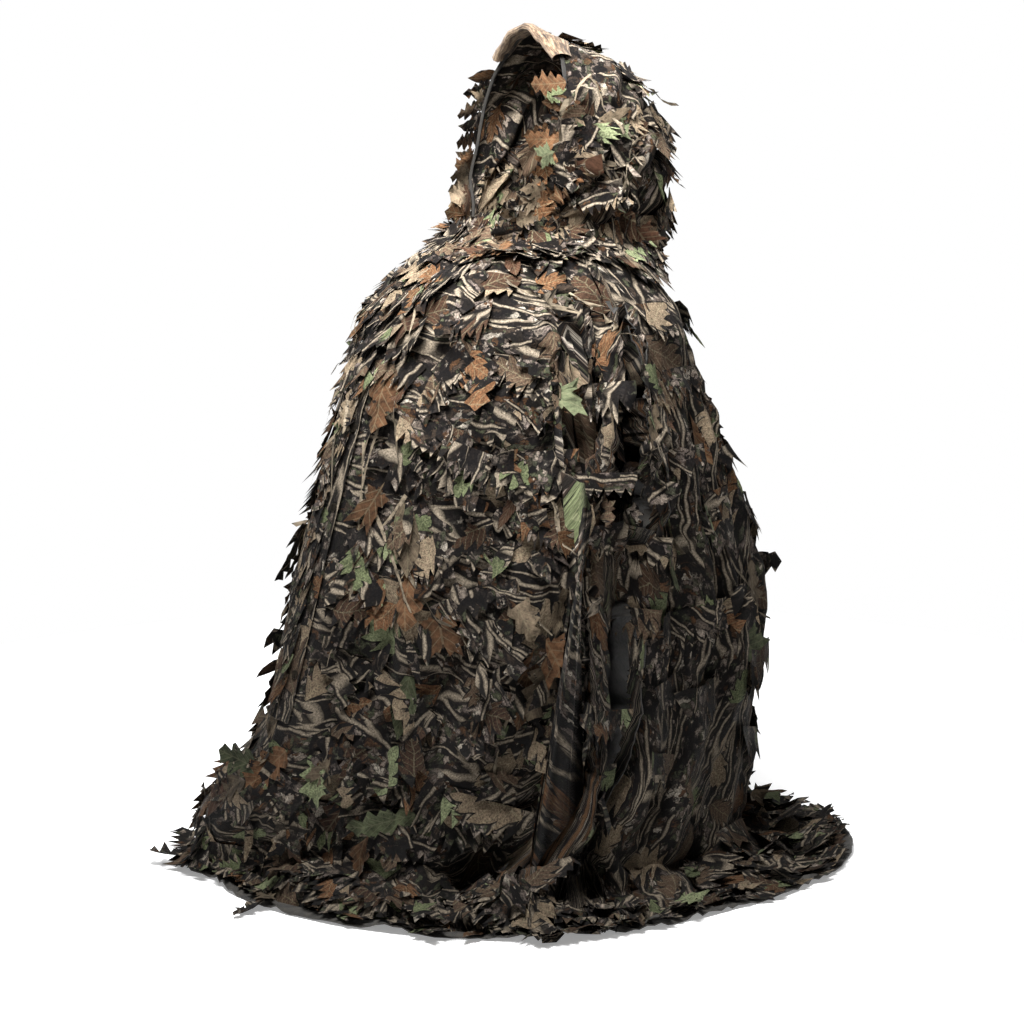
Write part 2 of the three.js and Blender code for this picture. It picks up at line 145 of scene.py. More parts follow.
class Wiring:
    """Adds nodes to one tree and joins them."""

    def __init__(self, tree):
        self.tree = tree

    def add(self, kind, inputs=(), **settings):
        made = self.tree.nodes.new(kind)
        for name, value in settings.items():
            setattr(made, name, value)
        for name, value in dict(inputs).items():
            if isinstance(value, bpy.types.NodeSocket):
                self.tree.links.new(value, made.inputs[name])
            else:
                made.inputs[name].default_value = value
        return made

    def math(self, operation, first, second=0.0, third=0.0, clamp=False):
        given = {0: first, 1: second}
        if operation in ("MULTIPLY_ADD", "COMPARE", "SMOOTH_MIN"):
            given[2] = third
        return self.add("ShaderNodeMath", given, operation=operation, use_clamp=clamp).outputs[0]

    def step(self, value, start, end):
        made = self.add("ShaderNodeMapRange", {0: value, 1: start, 2: end}, interpolation_type="SMOOTHSTEP")
        return made.outputs[0]

    def mix(self, share, first, second, blend="MIX"):
        made = self.add("ShaderNodeMix", data_type="RGBA", blend_type=blend)
        for name, value in ((0, share), (6, first), (7, second)):
            if isinstance(value, bpy.types.NodeSocket):
                self.tree.links.new(value, made.inputs[name])
            else:
                made.inputs[name].default_value = value
        return made.outputs[2]

    def ramp(self, value, stops, hard=False):
        made = self.add("ShaderNodeValToRGB", {0: value})
        made.color_ramp.interpolation = "CONSTANT" if hard else "LINEAR"
        while len(made.color_ramp.elements) < len(stops):
            made.color_ramp.elements.new(0.5)
        for element, (place, colour) in zip(made.color_ramp.elements, stops):
            element.position = place
            element.color = (*colour, 1)
        return made.outputs[0]

    def lit_by(self, colour, light):
        grey = self.add("ShaderNodeCombineColor", {0: light, 1: light, 2: light})
        return self.mix(1.0, colour, grey.outputs[0], "MULTIPLY")

    def turned(self, vector, turn=0.0, scale=(1, 1, 1)):
        made = self.add("ShaderNodeMapping", {0: vector, "Rotation": (0, 0, turn), "Scale": scale})
        return made.outputs[0]

    def noise(self, vector, scale, detail=3.0, roughness=0.55):
        given = {"Vector": vector, "Scale": scale, "Detail": detail, "Roughness": roughness}
        return self.add("ShaderNodeTexNoise", given, noise_dimensions="2D")

    def cells(self, vector, scale, feature="F1"):
        given = {"Vector": vector, "Scale": scale}
        return self.add("ShaderNodeTexVoronoi", given, voronoi_dimensions="2D", feature=feature)


def new_group(name, inputs, outputs):
    tree = bpy.data.node_groups.new(name, "ShaderNodeTree")
    for label, kind in inputs:
        tree.interface.new_socket(name=label, in_out="INPUT", socket_type=kind)
    for label, kind in outputs:
        tree.interface.new_socket(name=label, in_out="OUTPUT", socket_type=kind)
    wiring = Wiring(tree)
    return tree, wiring, wiring.add("NodeGroupInput"), wiring.add("NodeGroupOutput")


def litter_layer(w, place, turn, stretch, scale):
    """Curled chips of bark and dead leaf: a colour, and where there is one."""
    vector = w.turned(place, turn, (1, stretch, 1))
    chip = w.cells(vector, scale)
    edge = w.cells(vector, scale, "DISTANCE_TO_EDGE").outputs["Distance"]
    pick = w.add("ShaderNodeSeparateColor", {0: chip.outputs["Color"]})
    colour = w.ramp(pick.outputs[0], LITTER, hard=True)
    fibre = w.noise(w.turned(vector, 0, (1, 5, 1)), scale * 1.7, 4, 0.7).outputs[0]
    curl = w.math("SUBTRACT", 1.15, w.math("MULTIPLY", chip.outputs["Distance"], 0.95))
    lit = w.math("MULTIPLY", w.math("MULTIPLY_ADD", fibre, 2.1, -0.22), curl)
    colour = w.lit_by(colour, lit)
    there = w.math("MULTIPLY", w.step(edge, 0.03, 0.1), w.math("GREATER_THAN", pick.outputs[2], 0.3))
    return colour, there


def twig_layer(w, place, turn, stretch, scale, width, cover):
    """Thin branches: how bright each is across its width, and where there is one."""
    vector = w.turned(place, turn, (1, stretch, 1))
    edge = w.cells(vector, scale, "DISTANCE_TO_EDGE").outputs["Distance"]
    across = w.math("DIVIDE", edge, width)
    patch = w.math("GREATER_THAN", w.noise(vector, scale * 0.8, 1).outputs[0], cover)
    there = w.math("MULTIPLY", w.math("LESS_THAN", across, 1.0), patch)
    shade = w.math("MULTIPLY", w.math("LESS_THAN", across, 1.9), patch)
    lit = w.math("SUBTRACT", 1.1, w.math("POWER", across, 1.5, clamp=True))
    return lit, there, shade


def leaf_layer(w, place, turn, scale, cover):
    """Printed oak leaves: colour, mask and the dark gap round each."""
    vector = w.turned(place, turn)
    cell = w.cells(vector, scale)
    cell.inputs["Randomness"].default_value = 0.85
    pick = w.add("ShaderNodeSeparateColor", {0: cell.outputs["Color"]})
    centre = w.add("ShaderNodeVectorMath", {0: vector, 1: cell.outputs["Position"]}, operation="SUBTRACT")
    local = w.add("ShaderNodeVectorRotate", {"Vector": centre.outputs[0],
                  "Angle": w.math("MULTIPLY", pick.outputs[0], math.tau)}, rotation_type="Z_AXIS")
    parts = w.add("ShaderNodeSeparateXYZ", {0: local.outputs[0]})
    size = w.math("MULTIPLY_ADD", pick.outputs[2], 0.35, 0.72)
    unit = w.math("DIVIDE", scale, size)
    x = w.math("ABSOLUTE", w.math("MULTIPLY", parts.outputs[0], unit))
    along = w.math("MULTIPLY_ADD", parts.outputs[1], unit, 0.5)
    arch = w.math("SINE", w.math("MULTIPLY", w.math("MAXIMUM", w.math("MINIMUM", along, 1.0), 0.0), math.pi))
    teeth = w.math("FRACT", w.math("MULTIPLY_ADD", along, 4.3, w.math("MULTIPLY", x, -1.6)))
    half = w.math("MULTIPLY", w.math("POWER", arch, 0.6), w.math("MULTIPLY_ADD", teeth, 0.2, 0.15))
    there = w.math("MULTIPLY", w.math("LESS_THAN", x, half), w.math("GREATER_THAN", pick.outputs[1], cover))
    near_edge = w.math("LESS_THAN", x, w.math("ADD", half, 0.035))
    rim = w.math("MULTIPLY", near_edge, w.math("GREATER_THAN", arch, 0.02))
    rim = w.math("MULTIPLY", rim, w.math("GREATER_THAN", pick.outputs[1], cover))
    rib = w.math("FRACT", w.math("MULTIPLY_ADD", x, -7.0, w.math("MULTIPLY", along, 8.6)))
    vein = w.math("MAXIMUM", w.math("LESS_THAN", rib, 0.13), w.math("LESS_THAN", x, 0.011))
    colour = w.ramp(pick.outputs[2], LEAF, hard=True)
    mottled = w.noise(vector, 60, 4, 0.65).outputs[0]
    lit = w.math("MULTIPLY_ADD", mottled, 1.5, 0.28)
    colour = w.lit_by(colour, lit)
    colour = w.mix(w.math("MULTIPLY", vein, 0.16), colour, (0.5, 0.48, 0.3, 1))
    return colour, there, rim


print_tree, w, given, result = new_group(
    "forest print", [("Place", "NodeSocketVector")],
    [("Color", "NodeSocketColor"), ("Light", "NodeSocketFloat")])
place = given.outputs[0]
drift = w.noise(place, 16, 2)
bent = w.add("ShaderNodeVectorMath", {0: drift.outputs[1], 1: (0.5, 0.5, 0.5)}, operation="SUBTRACT")
bent = w.add("ShaderNodeVectorMath", {0: bent.outputs[0], "Scale": 0.022}, operation="SCALE")
rough_drift = w.noise(place, 95, 3, 0.7)
rough = w.add("ShaderNodeVectorMath", {0: rough_drift.outputs[1], 1: (0.5, 0.5, 0.5)}, operation="SUBTRACT")
rough = w.add("ShaderNodeVectorMath", {0: rough.outputs[0], "Scale": 0.011}, operation="SCALE")
warped = w.add("ShaderNodeVectorMath", {0: place, 1: bent.outputs[0]}, operation="ADD").outputs[0]
torn = w.add("ShaderNodeVectorMath", {0: warped, 1: rough.outputs[0]}, operation="ADD").outputs[0]
colour = w.ramp(w.noise(torn, 14, 6, 0.7).outputs[0], DARK)
patch = w.step(w.noise(place, 8, 2).outputs[0], 0.4, 0.6)
for turn, stretch, scale, where in ((0.5, 0.5, 82, None), (-0.7, 1.9, 66, patch), (1.3, 0.5, 190, None)):
    chips, there = litter_layer(w, torn, turn, stretch, scale)
    if where is not None:
        there = w.math("MULTIPLY", there, where)
    elif scale > 100:
        there = w.math("MULTIPLY", there, w.math("GREATER_THAN", w.noise(place, 38, 2).outputs[0], 0.5))
    colour = w.mix(there, colour, chips)
voids = w.step(w.noise(torn, 24, 4, 0.65).outputs[0], 0.48, 0.42)
colour = w.mix(w.math("MULTIPLY", voids, 0.92), colour, (0.006, 0.005, 0.005, 1))
for turn, stretch, scale, width, cover in (
        (0.25, 0.2, 17, 0.045, 0.49), (1.2, 0.24, 12, 0.032, 0.51),
        (-0.5, 0.13, 32, 0.05, 0.56), (0.95, 0.1, 25, 0.055, 0.57)):
    lit, there, shade = twig_layer(w, warped, turn, stretch, scale, width, cover)
    colour = w.mix(w.math("MULTIPLY", shade, 0.85), colour, (0.008, 0.006, 0.005, 1))
    wood = w.add("ShaderNodeVectorMath", {0: BARK[:3], "Scale": lit}, operation="SCALE").outputs[0]
    colour = w.mix(there, colour, wood)
for turn, scale, cover in ((0.0, 12, 0.52), (0.9, 8.2, 0.6)):
    blade, there, rim = leaf_layer(w, warped, turn, scale, cover)
    colour = w.mix(w.math("MULTIPLY", rim, 0.9), colour, (0.007, 0.006, 0.005, 1))
    colour = w.mix(there, colour, blade)
grain = w.math("MULTIPLY_ADD", w.noise(place, 330, 4, 0.75).outputs[0], 3.4, -0.75, clamp=False)
grain = w.math("MAXIMUM", grain, 0.12)
speckled = w.add("ShaderNodeVectorMath", {0: colour, "Scale": grain}, operation="SCALE").outputs[0]
colour = w.mix(1.0, colour, speckled)
w.tree.links.new(colour, result.inputs["Color"])
light = w.add("ShaderNodeRGBToBW", {0: colour}).outputs[0]
w.tree.links.new(light, result.inputs["Light"])

# Fine plain weave of the polyester, and the slight crumple that never irons out.
weave_tree, w, given, result = new_group(
    "cloth weave", [("Place", "NodeSocketVector"), ("Threads per metre", "NodeSocketFloat")],
    [("Height", "NodeSocketFloat")])
axes = w.add("ShaderNodeSeparateXYZ", {0: given.outputs[0]})
threads = w.math("MULTIPLY", given.outputs[1], math.tau)
warp = w.math("SINE", w.math("MULTIPLY", axes.outputs[0], threads))
weft = w.math("SINE", w.math("MULTIPLY", axes.outputs[1], threads))
crumple = w.noise(given.outputs[0], 90, 3, 0.6).outputs[0]
woven = w.math("MULTIPLY_ADD", w.math("MULTIPLY", warp, weft), 0.12, crumple)
w.tree.links.new(woven, result.inputs["Height"])


def cloth_material(name, with_leaves=False, roughness=0.82):
    """Printed cloth, with painted shade that darkens it towards the hem. `print_at` is a place on the roll,
    in metres.
    """
    made = bpy.data.materials.new(name)
    made.use_nodes = True
    w = Wiring(made.node_tree)
    shader = made.node_tree.nodes["Principled BSDF"]
    place = w.add("ShaderNodeAttribute", attribute_name="print_at").outputs["Vector"]
    forest = w.add("ShaderNodeGroup", {}, node_tree=print_tree)
    w.tree.links.new(place, forest.inputs["Place"])
    colour = forest.outputs["Color"]
    if with_leaves:
        tint = w.add("ShaderNodeAttribute", attribute_name="leaf_tint")
        leaf_at = w.add("ShaderNodeAttribute", attribute_name="leaf_at").outputs["Vector"]
        spot = w.add("ShaderNodeSeparateXYZ", {0: leaf_at})
        across = w.math("ABSOLUTE", spot.outputs[0])
        rib = w.math("FRACT", w.math("MULTIPLY_ADD", across, -2.6, w.math("MULTIPLY", spot.outputs[1], 7.0)))
        vein = w.math("MAXIMUM", w.math("LESS_THAN", rib, 0.14), w.math("LESS_THAN", across, 0.035))
        mottled = w.noise(place, 55, 6, 0.78).outputs[0]
        lit = w.math("MULTIPLY_ADD", mottled, 3.6, -0.85, clamp=False)
        lit = w.math("MAXIMUM", lit, 0.08)
        blade = w.lit_by(tint.outputs["Color"], lit)
        blade = w.mix(w.math("MULTIPLY", vein, 0.13), blade, (0.46, 0.42, 0.26, 1))
        edge = w.math("GREATER_THAN", across, 0.93)
        blade = w.mix(w.math("MULTIPLY", edge, 0.6), blade, (0.02, 0.015, 0.01, 1))
        ragged_edge = w.noise(place, 75, 3, 0.6).outputs[0]
        worn_through = w.math("GREATER_THAN", w.math("MULTIPLY_ADD", across, -0.35, 0.83), ragged_edge)
        colour = w.mix(w.math("MULTIPLY", spot.outputs[2], worn_through), colour, blade)
    # Painted shade: the colour is darkened from 0.96 m down to about a third at 0.3 m and below, standing in
    # for the light falling off down the cape.
    spot_here = w.add("ShaderNodeTexCoord").outputs["Object"]
    height_here = w.add("ShaderNodeSeparateXYZ", {0: spot_here}).outputs[2]
    painted_hem_shade = w.add("ShaderNodeMapRange", {0: height_here, 1: 0.3, 2: 0.96, 3: 0.36, 4: 1.0}).outputs[0]
    colour = w.add("ShaderNodeVectorMath", {0: colour, "Scale": painted_hem_shade}, operation="SCALE").outputs[0]
    w.tree.links.new(colour, shader.inputs["Base Color"])
    rough = w.math("MULTIPLY_ADD", forest.outputs["Light"], 0.25, roughness - 0.06)
    w.tree.links.new(rough, shader.inputs["Roughness"])
    weave = w.add("ShaderNodeGroup", {}, node_tree=weave_tree)
    w.tree.links.new(place, weave.inputs["Place"])
    weave.inputs["Threads per metre"].default_value = 700
    bump = w.add("ShaderNodeBump", {"Height": weave.outputs["Height"], "Strength": 0.5, "Distance": 0.0025})
    w.tree.links.new(bump.outputs[0], shader.inputs["Normal"])
    shader.inputs["Sheen Weight"].default_value = 0.015
    shader.inputs["Sheen Roughness"].default_value = 0.5
    shader.inputs["Specular IOR Level"].default_value = 0.1
    return made


printed_cloth = cloth_material("printed cloth")
leaf_cloth = cloth_material("leaf cloth", with_leaves=True)

# ---------------------------------------------------------------------------------------
# The cape's backing cloth. One wide poncho of four printed quarters, sewn to the neck
# seam, open down the front, hanging in deep folds and crumpled on the floor at the hem.
# ---------------------------------------------------------------------------------------
PANELS = ["front_panel_left", "back_panel_left", "back_panel_right", "front_panel_right"]
MIDDLE = Vector((0, 0.03, 0))
AROUND, DOWN = 240, 128
OPENING_HALF_GAP = 0.0012


def cad_tree(names):
    """A search tree of these CAD nodes' surfaces."""
    points, faces = [], []
    for name in names:
        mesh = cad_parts[name].data
        start = len(points)
        points += [v.co.copy() for v in mesh.vertices]
        faces += [[start + i for i in p.vertices] for p in mesh.polygons]
    return BVHTree.FromPolygons(points, faces)


def resampled(points, count):
    """The same line with its points evenly spaced."""
    lengths = np.linalg.norm(np.diff(points, axis=0), axis=1)
    along = np.concatenate([[0], np.cumsum(lengths)])
    wanted = np.linspace(0, along[-1], count)
    return np.stack([np.interp(wanted, along, points[:, k]) for k in range(3)], axis=1)


def smooth_step(value, start, end):
    share = np.clip((value - start) / (end - start), 0, 1)
    return share * share * (3 - 2 * share)


panel_tree = cad_tree(PANELS)
neck_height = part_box("front_panel_left")[1][2]
wall_heights = np.linspace(neck_height - 0.004, 0.075, 70)
floor_heights = 0.075 * np.linspace(0.97, 0.05, 26) ** 1.2
turns = np.linspace(OPENING_HALF_GAP / 0.3, math.tau - OPENING_HALF_GAP / 0.3, AROUND)
outline = []
for turn in turns:
    way = Vector((math.sin(turn), -math.cos(turn), 0))
    line = []
    for z in (*wall_heights, *floor_heights):
        start = MIDDLE + way * 1.5 + Vector((0, 0, z))
        hit = panel_tree.ray_cast(start, -way)[0]
        if hit is not None:
            line.append(hit)
    outline.append(resampled(np.array(line), DOWN))
base = np.array(outline)


def grid_normals(points):
    around = np.gradient(points, axis=0)
    down = np.gradient(points, axis=1)
    normal = np.cross(down, around)
    return normal / np.maximum(np.linalg.norm(normal, axis=2, keepdims=True), 1e-9)


turn_deg = np.degrees(turns)[:, None] + np.zeros((1, DOWN))
z = base[:, :, 2]
# The cloth on the floor is swung round a little from the way the wearer faces.
swing = math.radians(-23) * smooth_step(z, 0.25, 0.03)
base = np.stack([base[:, :, 0] * np.cos(swing) - base[:, :, 1] * np.sin(swing),
                 base[:, :, 0] * np.sin(swing) + base[:, :, 1] * np.cos(swing), z], axis=2)
drawn_in = 0.08 * np.exp(-((turn_deg - 212) / 24) ** 2) - 0.09 * np.exp(-((turn_deg - 80) / 34) ** 2)
drawn_in += 0.1 * np.exp(-(((turn_deg + 187) % 360 - 180) / 24) ** 2)
drawn_in = 1 - drawn_in * smooth_step(z, 0.07, 0.02)
base = base * np.stack([drawn_in, drawn_in, np.ones_like(drawn_in)], axis=2)
hang = smooth_step(z, 0.93, 0.45)
normals = grid_normals(base)
# Deep folds that hang from the shoulder: angle, lean in degrees per half metre, half width
# in degrees, depth, and the heights between which each runs.
FOLDS = [
    (72, -6, 5.6, 0.066, 0.74, 0.03), (87, 5, 6.4, 0.09, 0.7, 0.02), (105, 2, 5.4, 0.074, 0.78, 0.08),
    (121, 4, 4.8, 0.05, 0.72, 0.1), (141, -4, 5.6, 0.056, 0.78, 0.06), (165, 5, 5.6, 0.056, 0.76, 0.04),
    (191, -4, 5.6, 0.06, 0.74, 0.03), (214, 3, 5.2, 0.054, 0.7, 0.05), (239, -6, 5.6, 0.06, 0.76, 0.03),
    (262, 6, 5.0, 0.056, 0.64, 0.04), (287, -3, 5.6, 0.05, 0.72, 0.03), (312, 5, 4.6, 0.04, 0.64, 0.04),
    (337, -4, 3.4, 0.026, 0.5, 0.05), (20, 5, 3.6, 0.022, 0.5, 0.05), (38, -7, 4.2, 0.026, 0.52, 0.04),
    (55, 8, 3.4, 0.024, 0.4, 0.03),
]
beside_opening = np.minimum(turn_deg, 360 - turn_deg)
free = 0.12 + 0.88 * smooth_step(beside_opening, 5, 16)
free[z < 0.06] = 1
drape = np.zeros_like(z)
for angle, lean, half_width, depth, top, bottom in FOLDS:
    centre = angle + lean * (top - z) * 2
    past_centre = ((turn_deg - centre + 180) % 360 - 180) / half_width
    shape = np.exp(-past_centre ** 2)
    reach = smooth_step(z, top + 0.12, top - 0.1) * smooth_step(z, bottom - 0.04, bottom + 0.05)
    drape -= depth * shape * reach
    drape += 0.28 * depth * np.exp(-(past_centre / 2.4) ** 2) * reach
for waves, lean, depth in ((11, 3, 0.007), (17, -4, 0.006), (29, 6, 0.003)):
    drape += depth * hang * np.sin(np.radians(turn_deg) * waves + lean * z * 3 + waves)
back_of_knee = np.exp(-((turn_deg - 150) / 40) ** 2) * smooth_step(z, 0.85, 0.7) * smooth_step(z, 0.25, 0.4)
drape += 0.026 * back_of_knee
# Cloth heaped round the feet, in rolls that run along the hem.
radius = np.linalg.norm(base[:, :, :2], axis=2)
heap = smooth_step(z, 0.075, 0.045) * smooth_step(z, 0.0032, 0.012)
wander = 1.6 * np.sin(np.radians(turn_deg) * 5 + 1) + 1.1 * np.sin(np.radians(turn_deg) * 9)
rolls = 0.5 + 0.5 * np.sin(radius * 88 + wander)
lifted_tip = np.exp(-((turn_deg - 166) / 6) ** 2) * smooth_step(radius, 0.44, 0.56)
plain = base.copy()
base = base + normals * (drape * free)[:, :, None]
base[:, :, 2] += 0.032 * lifted_tip
base[:, :, 2] += heap * (0.004 + 0.018 * rolls)
base[:, :, 2] = np.maximum(base[:, :, 2], 0.0015)


def crumpled(points, size, depth, seed=0.0, share=1.0):
    """Points pushed along their normals by soft noise of this size, in metres."""
    normal = grid_normals(points)
    flat = points.reshape(-1, 3)
    push = [noise.noise(Vector(p) / size + Vector((seed, 0, 0))) for p in flat]
    push = depth * np.array(push).reshape(points.shape[:2]) * share
    return points + normal * push[:, :, None]


base = crumpled(base, 0.11, 0.012, 3.0, free)
base[:, :, 2] = np.maximum(base[:, :, 2], 0.0015)


def sheet_from_grid(name, points, places, material, closed=False):
    """A mesh of quads through a grid of points, facing outwards."""
    columns, rows = points.shape[:2]
    faces = []
    for i in range(columns if closed else columns - 1):
        j = (i + 1) % columns
        faces += [(i * rows + k, i * rows + k + 1, j * rows + k + 1, j * rows + k) for k in range(rows - 1)]
    mesh = bpy.data.meshes.new(name)
    mesh.from_pydata(points.reshape(-1, 3).tolist(), [], faces)
    mesh.polygons.foreach_set("use_smooth", [True] * len(mesh.polygons))
    attribute = mesh.attributes.new("print_at", "FLOAT_VECTOR", "POINT")
    attribute.data.foreach_set("vector", places.reshape(-1).astype(np.float32))
    mesh.materials.append(material)
    made = bpy.data.objects.new(name, mesh)
    bpy.context.scene.collection.objects.link(made)
    return made


def run_along(points, axis):
    """Distance along the cloth from the first point, in one direction of the grid."""
    steps = np.linalg.norm(np.diff(points, axis=axis), axis=2)
    start = np.zeros_like(steps[:1] if axis == 0 else steps[:, :1])
    return np.concatenate([start, np.cumsum(steps, axis=axis)], axis=axis)


def place_on_roll(points):
    """Where each point of the cape was cut from the printed roll. Each quarter opens out as a
    fan, with the cloth that its folds take up spread to both sides of its middle."""
    from_neck = 0.32 + run_along(points, 1)
    taken_up = run_along(points, 0) - run_along(plain, 0)
    taken_up = np.stack([np.convolve(np.pad(row, 6, mode="edge"), np.ones(13) / 13, mode="valid")
                         for row in taken_up])
    spread = 0.36 * np.radians(turn_deg) + 0 * z
    for quarter in range(4):
        columns = slice(quarter * AROUND // 4, (quarter + 1) * AROUND // 4)
        middle = quarter * AROUND // 4 + AROUND // 8
        spread[columns] += (taken_up[columns] - taken_up[middle]) / from_neck[columns] + 0.9 * quarter
    return np.stack([from_neck * np.cos(spread), from_neck * np.sin(spread), np.zeros_like(spread)], axis=2)


roll_place = place_on_roll(base)
cape_cloth = sheet_from_grid("cape_cloth", base, roll_place, printed_cloth)

# The cloth settles under its own weight over a stand-in for the shoulders and knees.
inside = np.array(outline) - normals * 0.03
form = sheet_from_grid("settling form", inside[:, :70], roll_place[:, :70], printed_cloth)
form.modifiers.new("collide", "COLLISION")
form.collision.thickness_outer = 0.004
floor.modifiers.new("collide", "COLLISION")
floor.collision.thickness_outer = 0.002
hold = cape_cloth.vertex_groups.new(name="hold")
height_share = smooth_step(z, 0.8, 0.93)
weight = np.clip(0.12 + height_share + (1 - free), 0, 1).reshape(-1)
for index, share in enumerate(weight):
    hold.add([index], float(share), "REPLACE")
settle = cape_cloth.modifiers.new("settle", "CLOTH")
settle.settings.quality = 4
settle.settings.mass = 0.25
settle.settings.tension_stiffness = 12
settle.settings.compression_stiffness = 6
settle.settings.bending_stiffness = 0.3
settle.settings.vertex_group_mass = "hold"
settle.settings.pin_stiffness = 0.6
settle.settings.shrink_min = -0.02
settle.collision_settings.distance_min = 0.003
settle.point_cache.frame_end = 26
for step in range(1, 27):
    bpy.context.scene.frame_set(step)
settled = cape_cloth.evaluated_get(bpy.context.evaluated_depsgraph_get()).data
moved = np.array([v.co for v in settled.vertices]).reshape(base.shape) - base
cape_cloth.modifiers.remove(settle)
far = np.linalg.norm(moved, axis=2, keepdims=True)
moved *= np.minimum(1, 0.03 / np.maximum(far, 1e-6))
base = base + moved
bpy.data.objects.remove(form)
floor.modifiers.clear()
bpy.context.scene.frame_set(1)

smooth_cape = base.copy()
smooth_normals = grid_normals(smooth_cape)
base = crumpled(base, 0.045, 0.006, 0.0, free)
base = crumpled(base, 0.021, 0.0022, 9.0, free)
base[:, :, 2] = np.maximum(base[:, :, 2], 0.0015)
box_room = 0.02


def kept_in_box(points):
    """Points held inside the object's box."""
    low = low_corner - np.array([box_room, box_room, 0])
    return np.clip(points, low + [0, 0, 0.001], high_corner + box_room)


base = kept_in_box(base)
cape_cloth.data.vertices.foreach_set("co", base.reshape(-1))
roll_place = place_on_roll(smooth_cape).astype(np.float32)
cape_cloth.data.attributes["print_at"].data.foreach_set("vector", roll_place.reshape(-1))
cape_cloth.data.update()

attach(cape_cloth, "cape")
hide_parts(*PANELS)

# ---------------------------------------------------------------------------------------
# Tapes. Dark woven polyester: seam tapes inside the cape, plackets at the front opening,
# the neck binding, and the binding folded round the hem.
# ---------------------------------------------------------------------------------------
tape_cloth = bpy.data.materials.new("woven tape")
tape_cloth.use_nodes = True
w = Wiring(tape_cloth.node_tree)
shader = tape_cloth.node_tree.nodes["Principled BSDF"]
place = w.add("ShaderNodeAttribute", attribute_name="print_at").outputs["Vector"]
worn = w.noise(place, 55, 4, 0.6).outputs[0]
worn_colour = w.ramp(worn, [(0.3, (0.008, 0.007, 0.006)), (0.7, (0.03, 0.026, 0.02))])
w.tree.links.new(worn_colour, shader.inputs["Base Color"])
weave = w.add("ShaderNodeGroup", {}, node_tree=weave_tree)
w.tree.links.new(place, weave.inputs["Place"])
weave.inputs["Threads per metre"].default_value = 450
bump = w.add("ShaderNodeBump", {"Height": weave.outputs["Height"], "Strength": 0.6, "Distance": 0.003})
w.tree.links.new(bump.outputs[0], shader.inputs["Normal"])
w.tree.links.new(w.math("MULTIPLY_ADD", worn, 0.2, 0.7), shader.inputs["Roughness"])
shader.inputs["Sheen Weight"].default_value = 0.1


def band(name, outer, inner, node, body):
    """A tape with two faces, wrapped round between two grids of points."""
    loop = np.concatenate([outer, inner[:, ::-1], outer[:, :1]], axis=1)
    steps = np.linalg.norm(np.diff(loop, axis=1), axis=2)
    across = np.concatenate([np.zeros((len(loop), 1)), np.cumsum(steps, axis=1)], axis=1)
    along = np.zeros_like(across) + np.concatenate(
        [[0], np.cumsum(np.linalg.norm(np.diff(loop[:, 0], axis=0), axis=1))])[:, None]
    places = np.stack([across, along, across * 0], axis=2)
    made = sheet_from_grid(name, kept_in_box(loop), places, tape_cloth)
    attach(made, body)
    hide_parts(node)
    return made


base_normals = grid_normals(base)


def column_band(name, first, last, node):
    """A tape that runs down inside the cape between two columns of its cloth."""
    columns = slice(first, last)
    outer = (base - base_normals * 0.0012)[columns, :104].transpose(1, 0, 2)
    inner = (base - base_normals * 0.0026)[columns, :104].transpose(1, 0, 2)
    return band(name, outer, inner, node, "cape")


middle_column = AROUND // 2
side_column = AROUND // 4
cape_tapes = [
    column_band("seam_tape_left", side_column - 2, side_column + 2, "left_side_seam_tape"),
    column_band("seam_tape_back", middle_column - 2, middle_column + 2, "back_seam_tape"),
    column_band("seam_tape_right", AROUND - side_column - 2, AROUND - side_column + 2,
                "right_side_seam_tape"),
    column_band("placket_left_tape", 0, 4, "placket_left"),
    column_band("placket_right_tape", AROUND - 4, AROUND, "placket_right"),
    band("neck_binding_tape", (base + base_normals * 0.0012)[:, 0:3], (base - base_normals * 0.0012)[:, 0:3],
         "neck_binding", "cape"),
    band("hem_tape_band", (base + [0, 0, 0.0012])[:, -3:], kept_in_box((base - [0, 0, 0.0012])[:, -3:]),
         "hem_tape", "cape"),
]

# ---------------------------------------------------------------------------------------
# Leaf shapes. The real strips and leaves are hot-cut from the same printed polyester and
# sewn on by their upper edge, so the rest lifts, curls and hangs free.
# ---------------------------------------------------------------------------------------
RUST, TAN, GREEN = (0.14, 0.07, 0.034), (0.2, 0.15, 0.1), (0.1, 0.115, 0.06)
PALE_GREEN, DARK_RUST, TWIG = (0.16, 0.18, 0.1), (0.07, 0.034, 0.02), (0.26, 0.21, 0.15)


def quads(columns, rows):
    return [(i * rows + k, (i + 1) * rows + k, (i + 1) * rows + k + 1, i * rows + k + 1)
            for i in range(columns - 1) for k in range(rows - 1)]


def strip_leaf(rng):
    """A wide strip with leaf points along its lower edge. Across -1 to 1, down 0 to 1."""
    columns, rows = 2 * rng.integers(5, 9) + 1, 5
    across = np.linspace(-1, 1, columns) + rng.uniform(-0.3, 0.3, columns) / columns
    point, notch = rng.uniform(0.75, 1.0, columns), rng.uniform(0.4, 0.68, columns)
    end = np.where(np.arange(columns) % 2 == 1, point, notch)
    end[[0, -1]] = rng.uniform(0.15, 0.5, 2)
    end *= 1 - 0.25 * np.abs(across) ** 3
    down = np.linspace(0, 1, rows)[None, :] ** 0.8 * end[:, None]
    lean = rng.uniform(-0.12, 0.12)
    return np.stack([across[:, None] + lean * down, down], axis=2).reshape(-1, 2), quads(columns, rows), 0.0


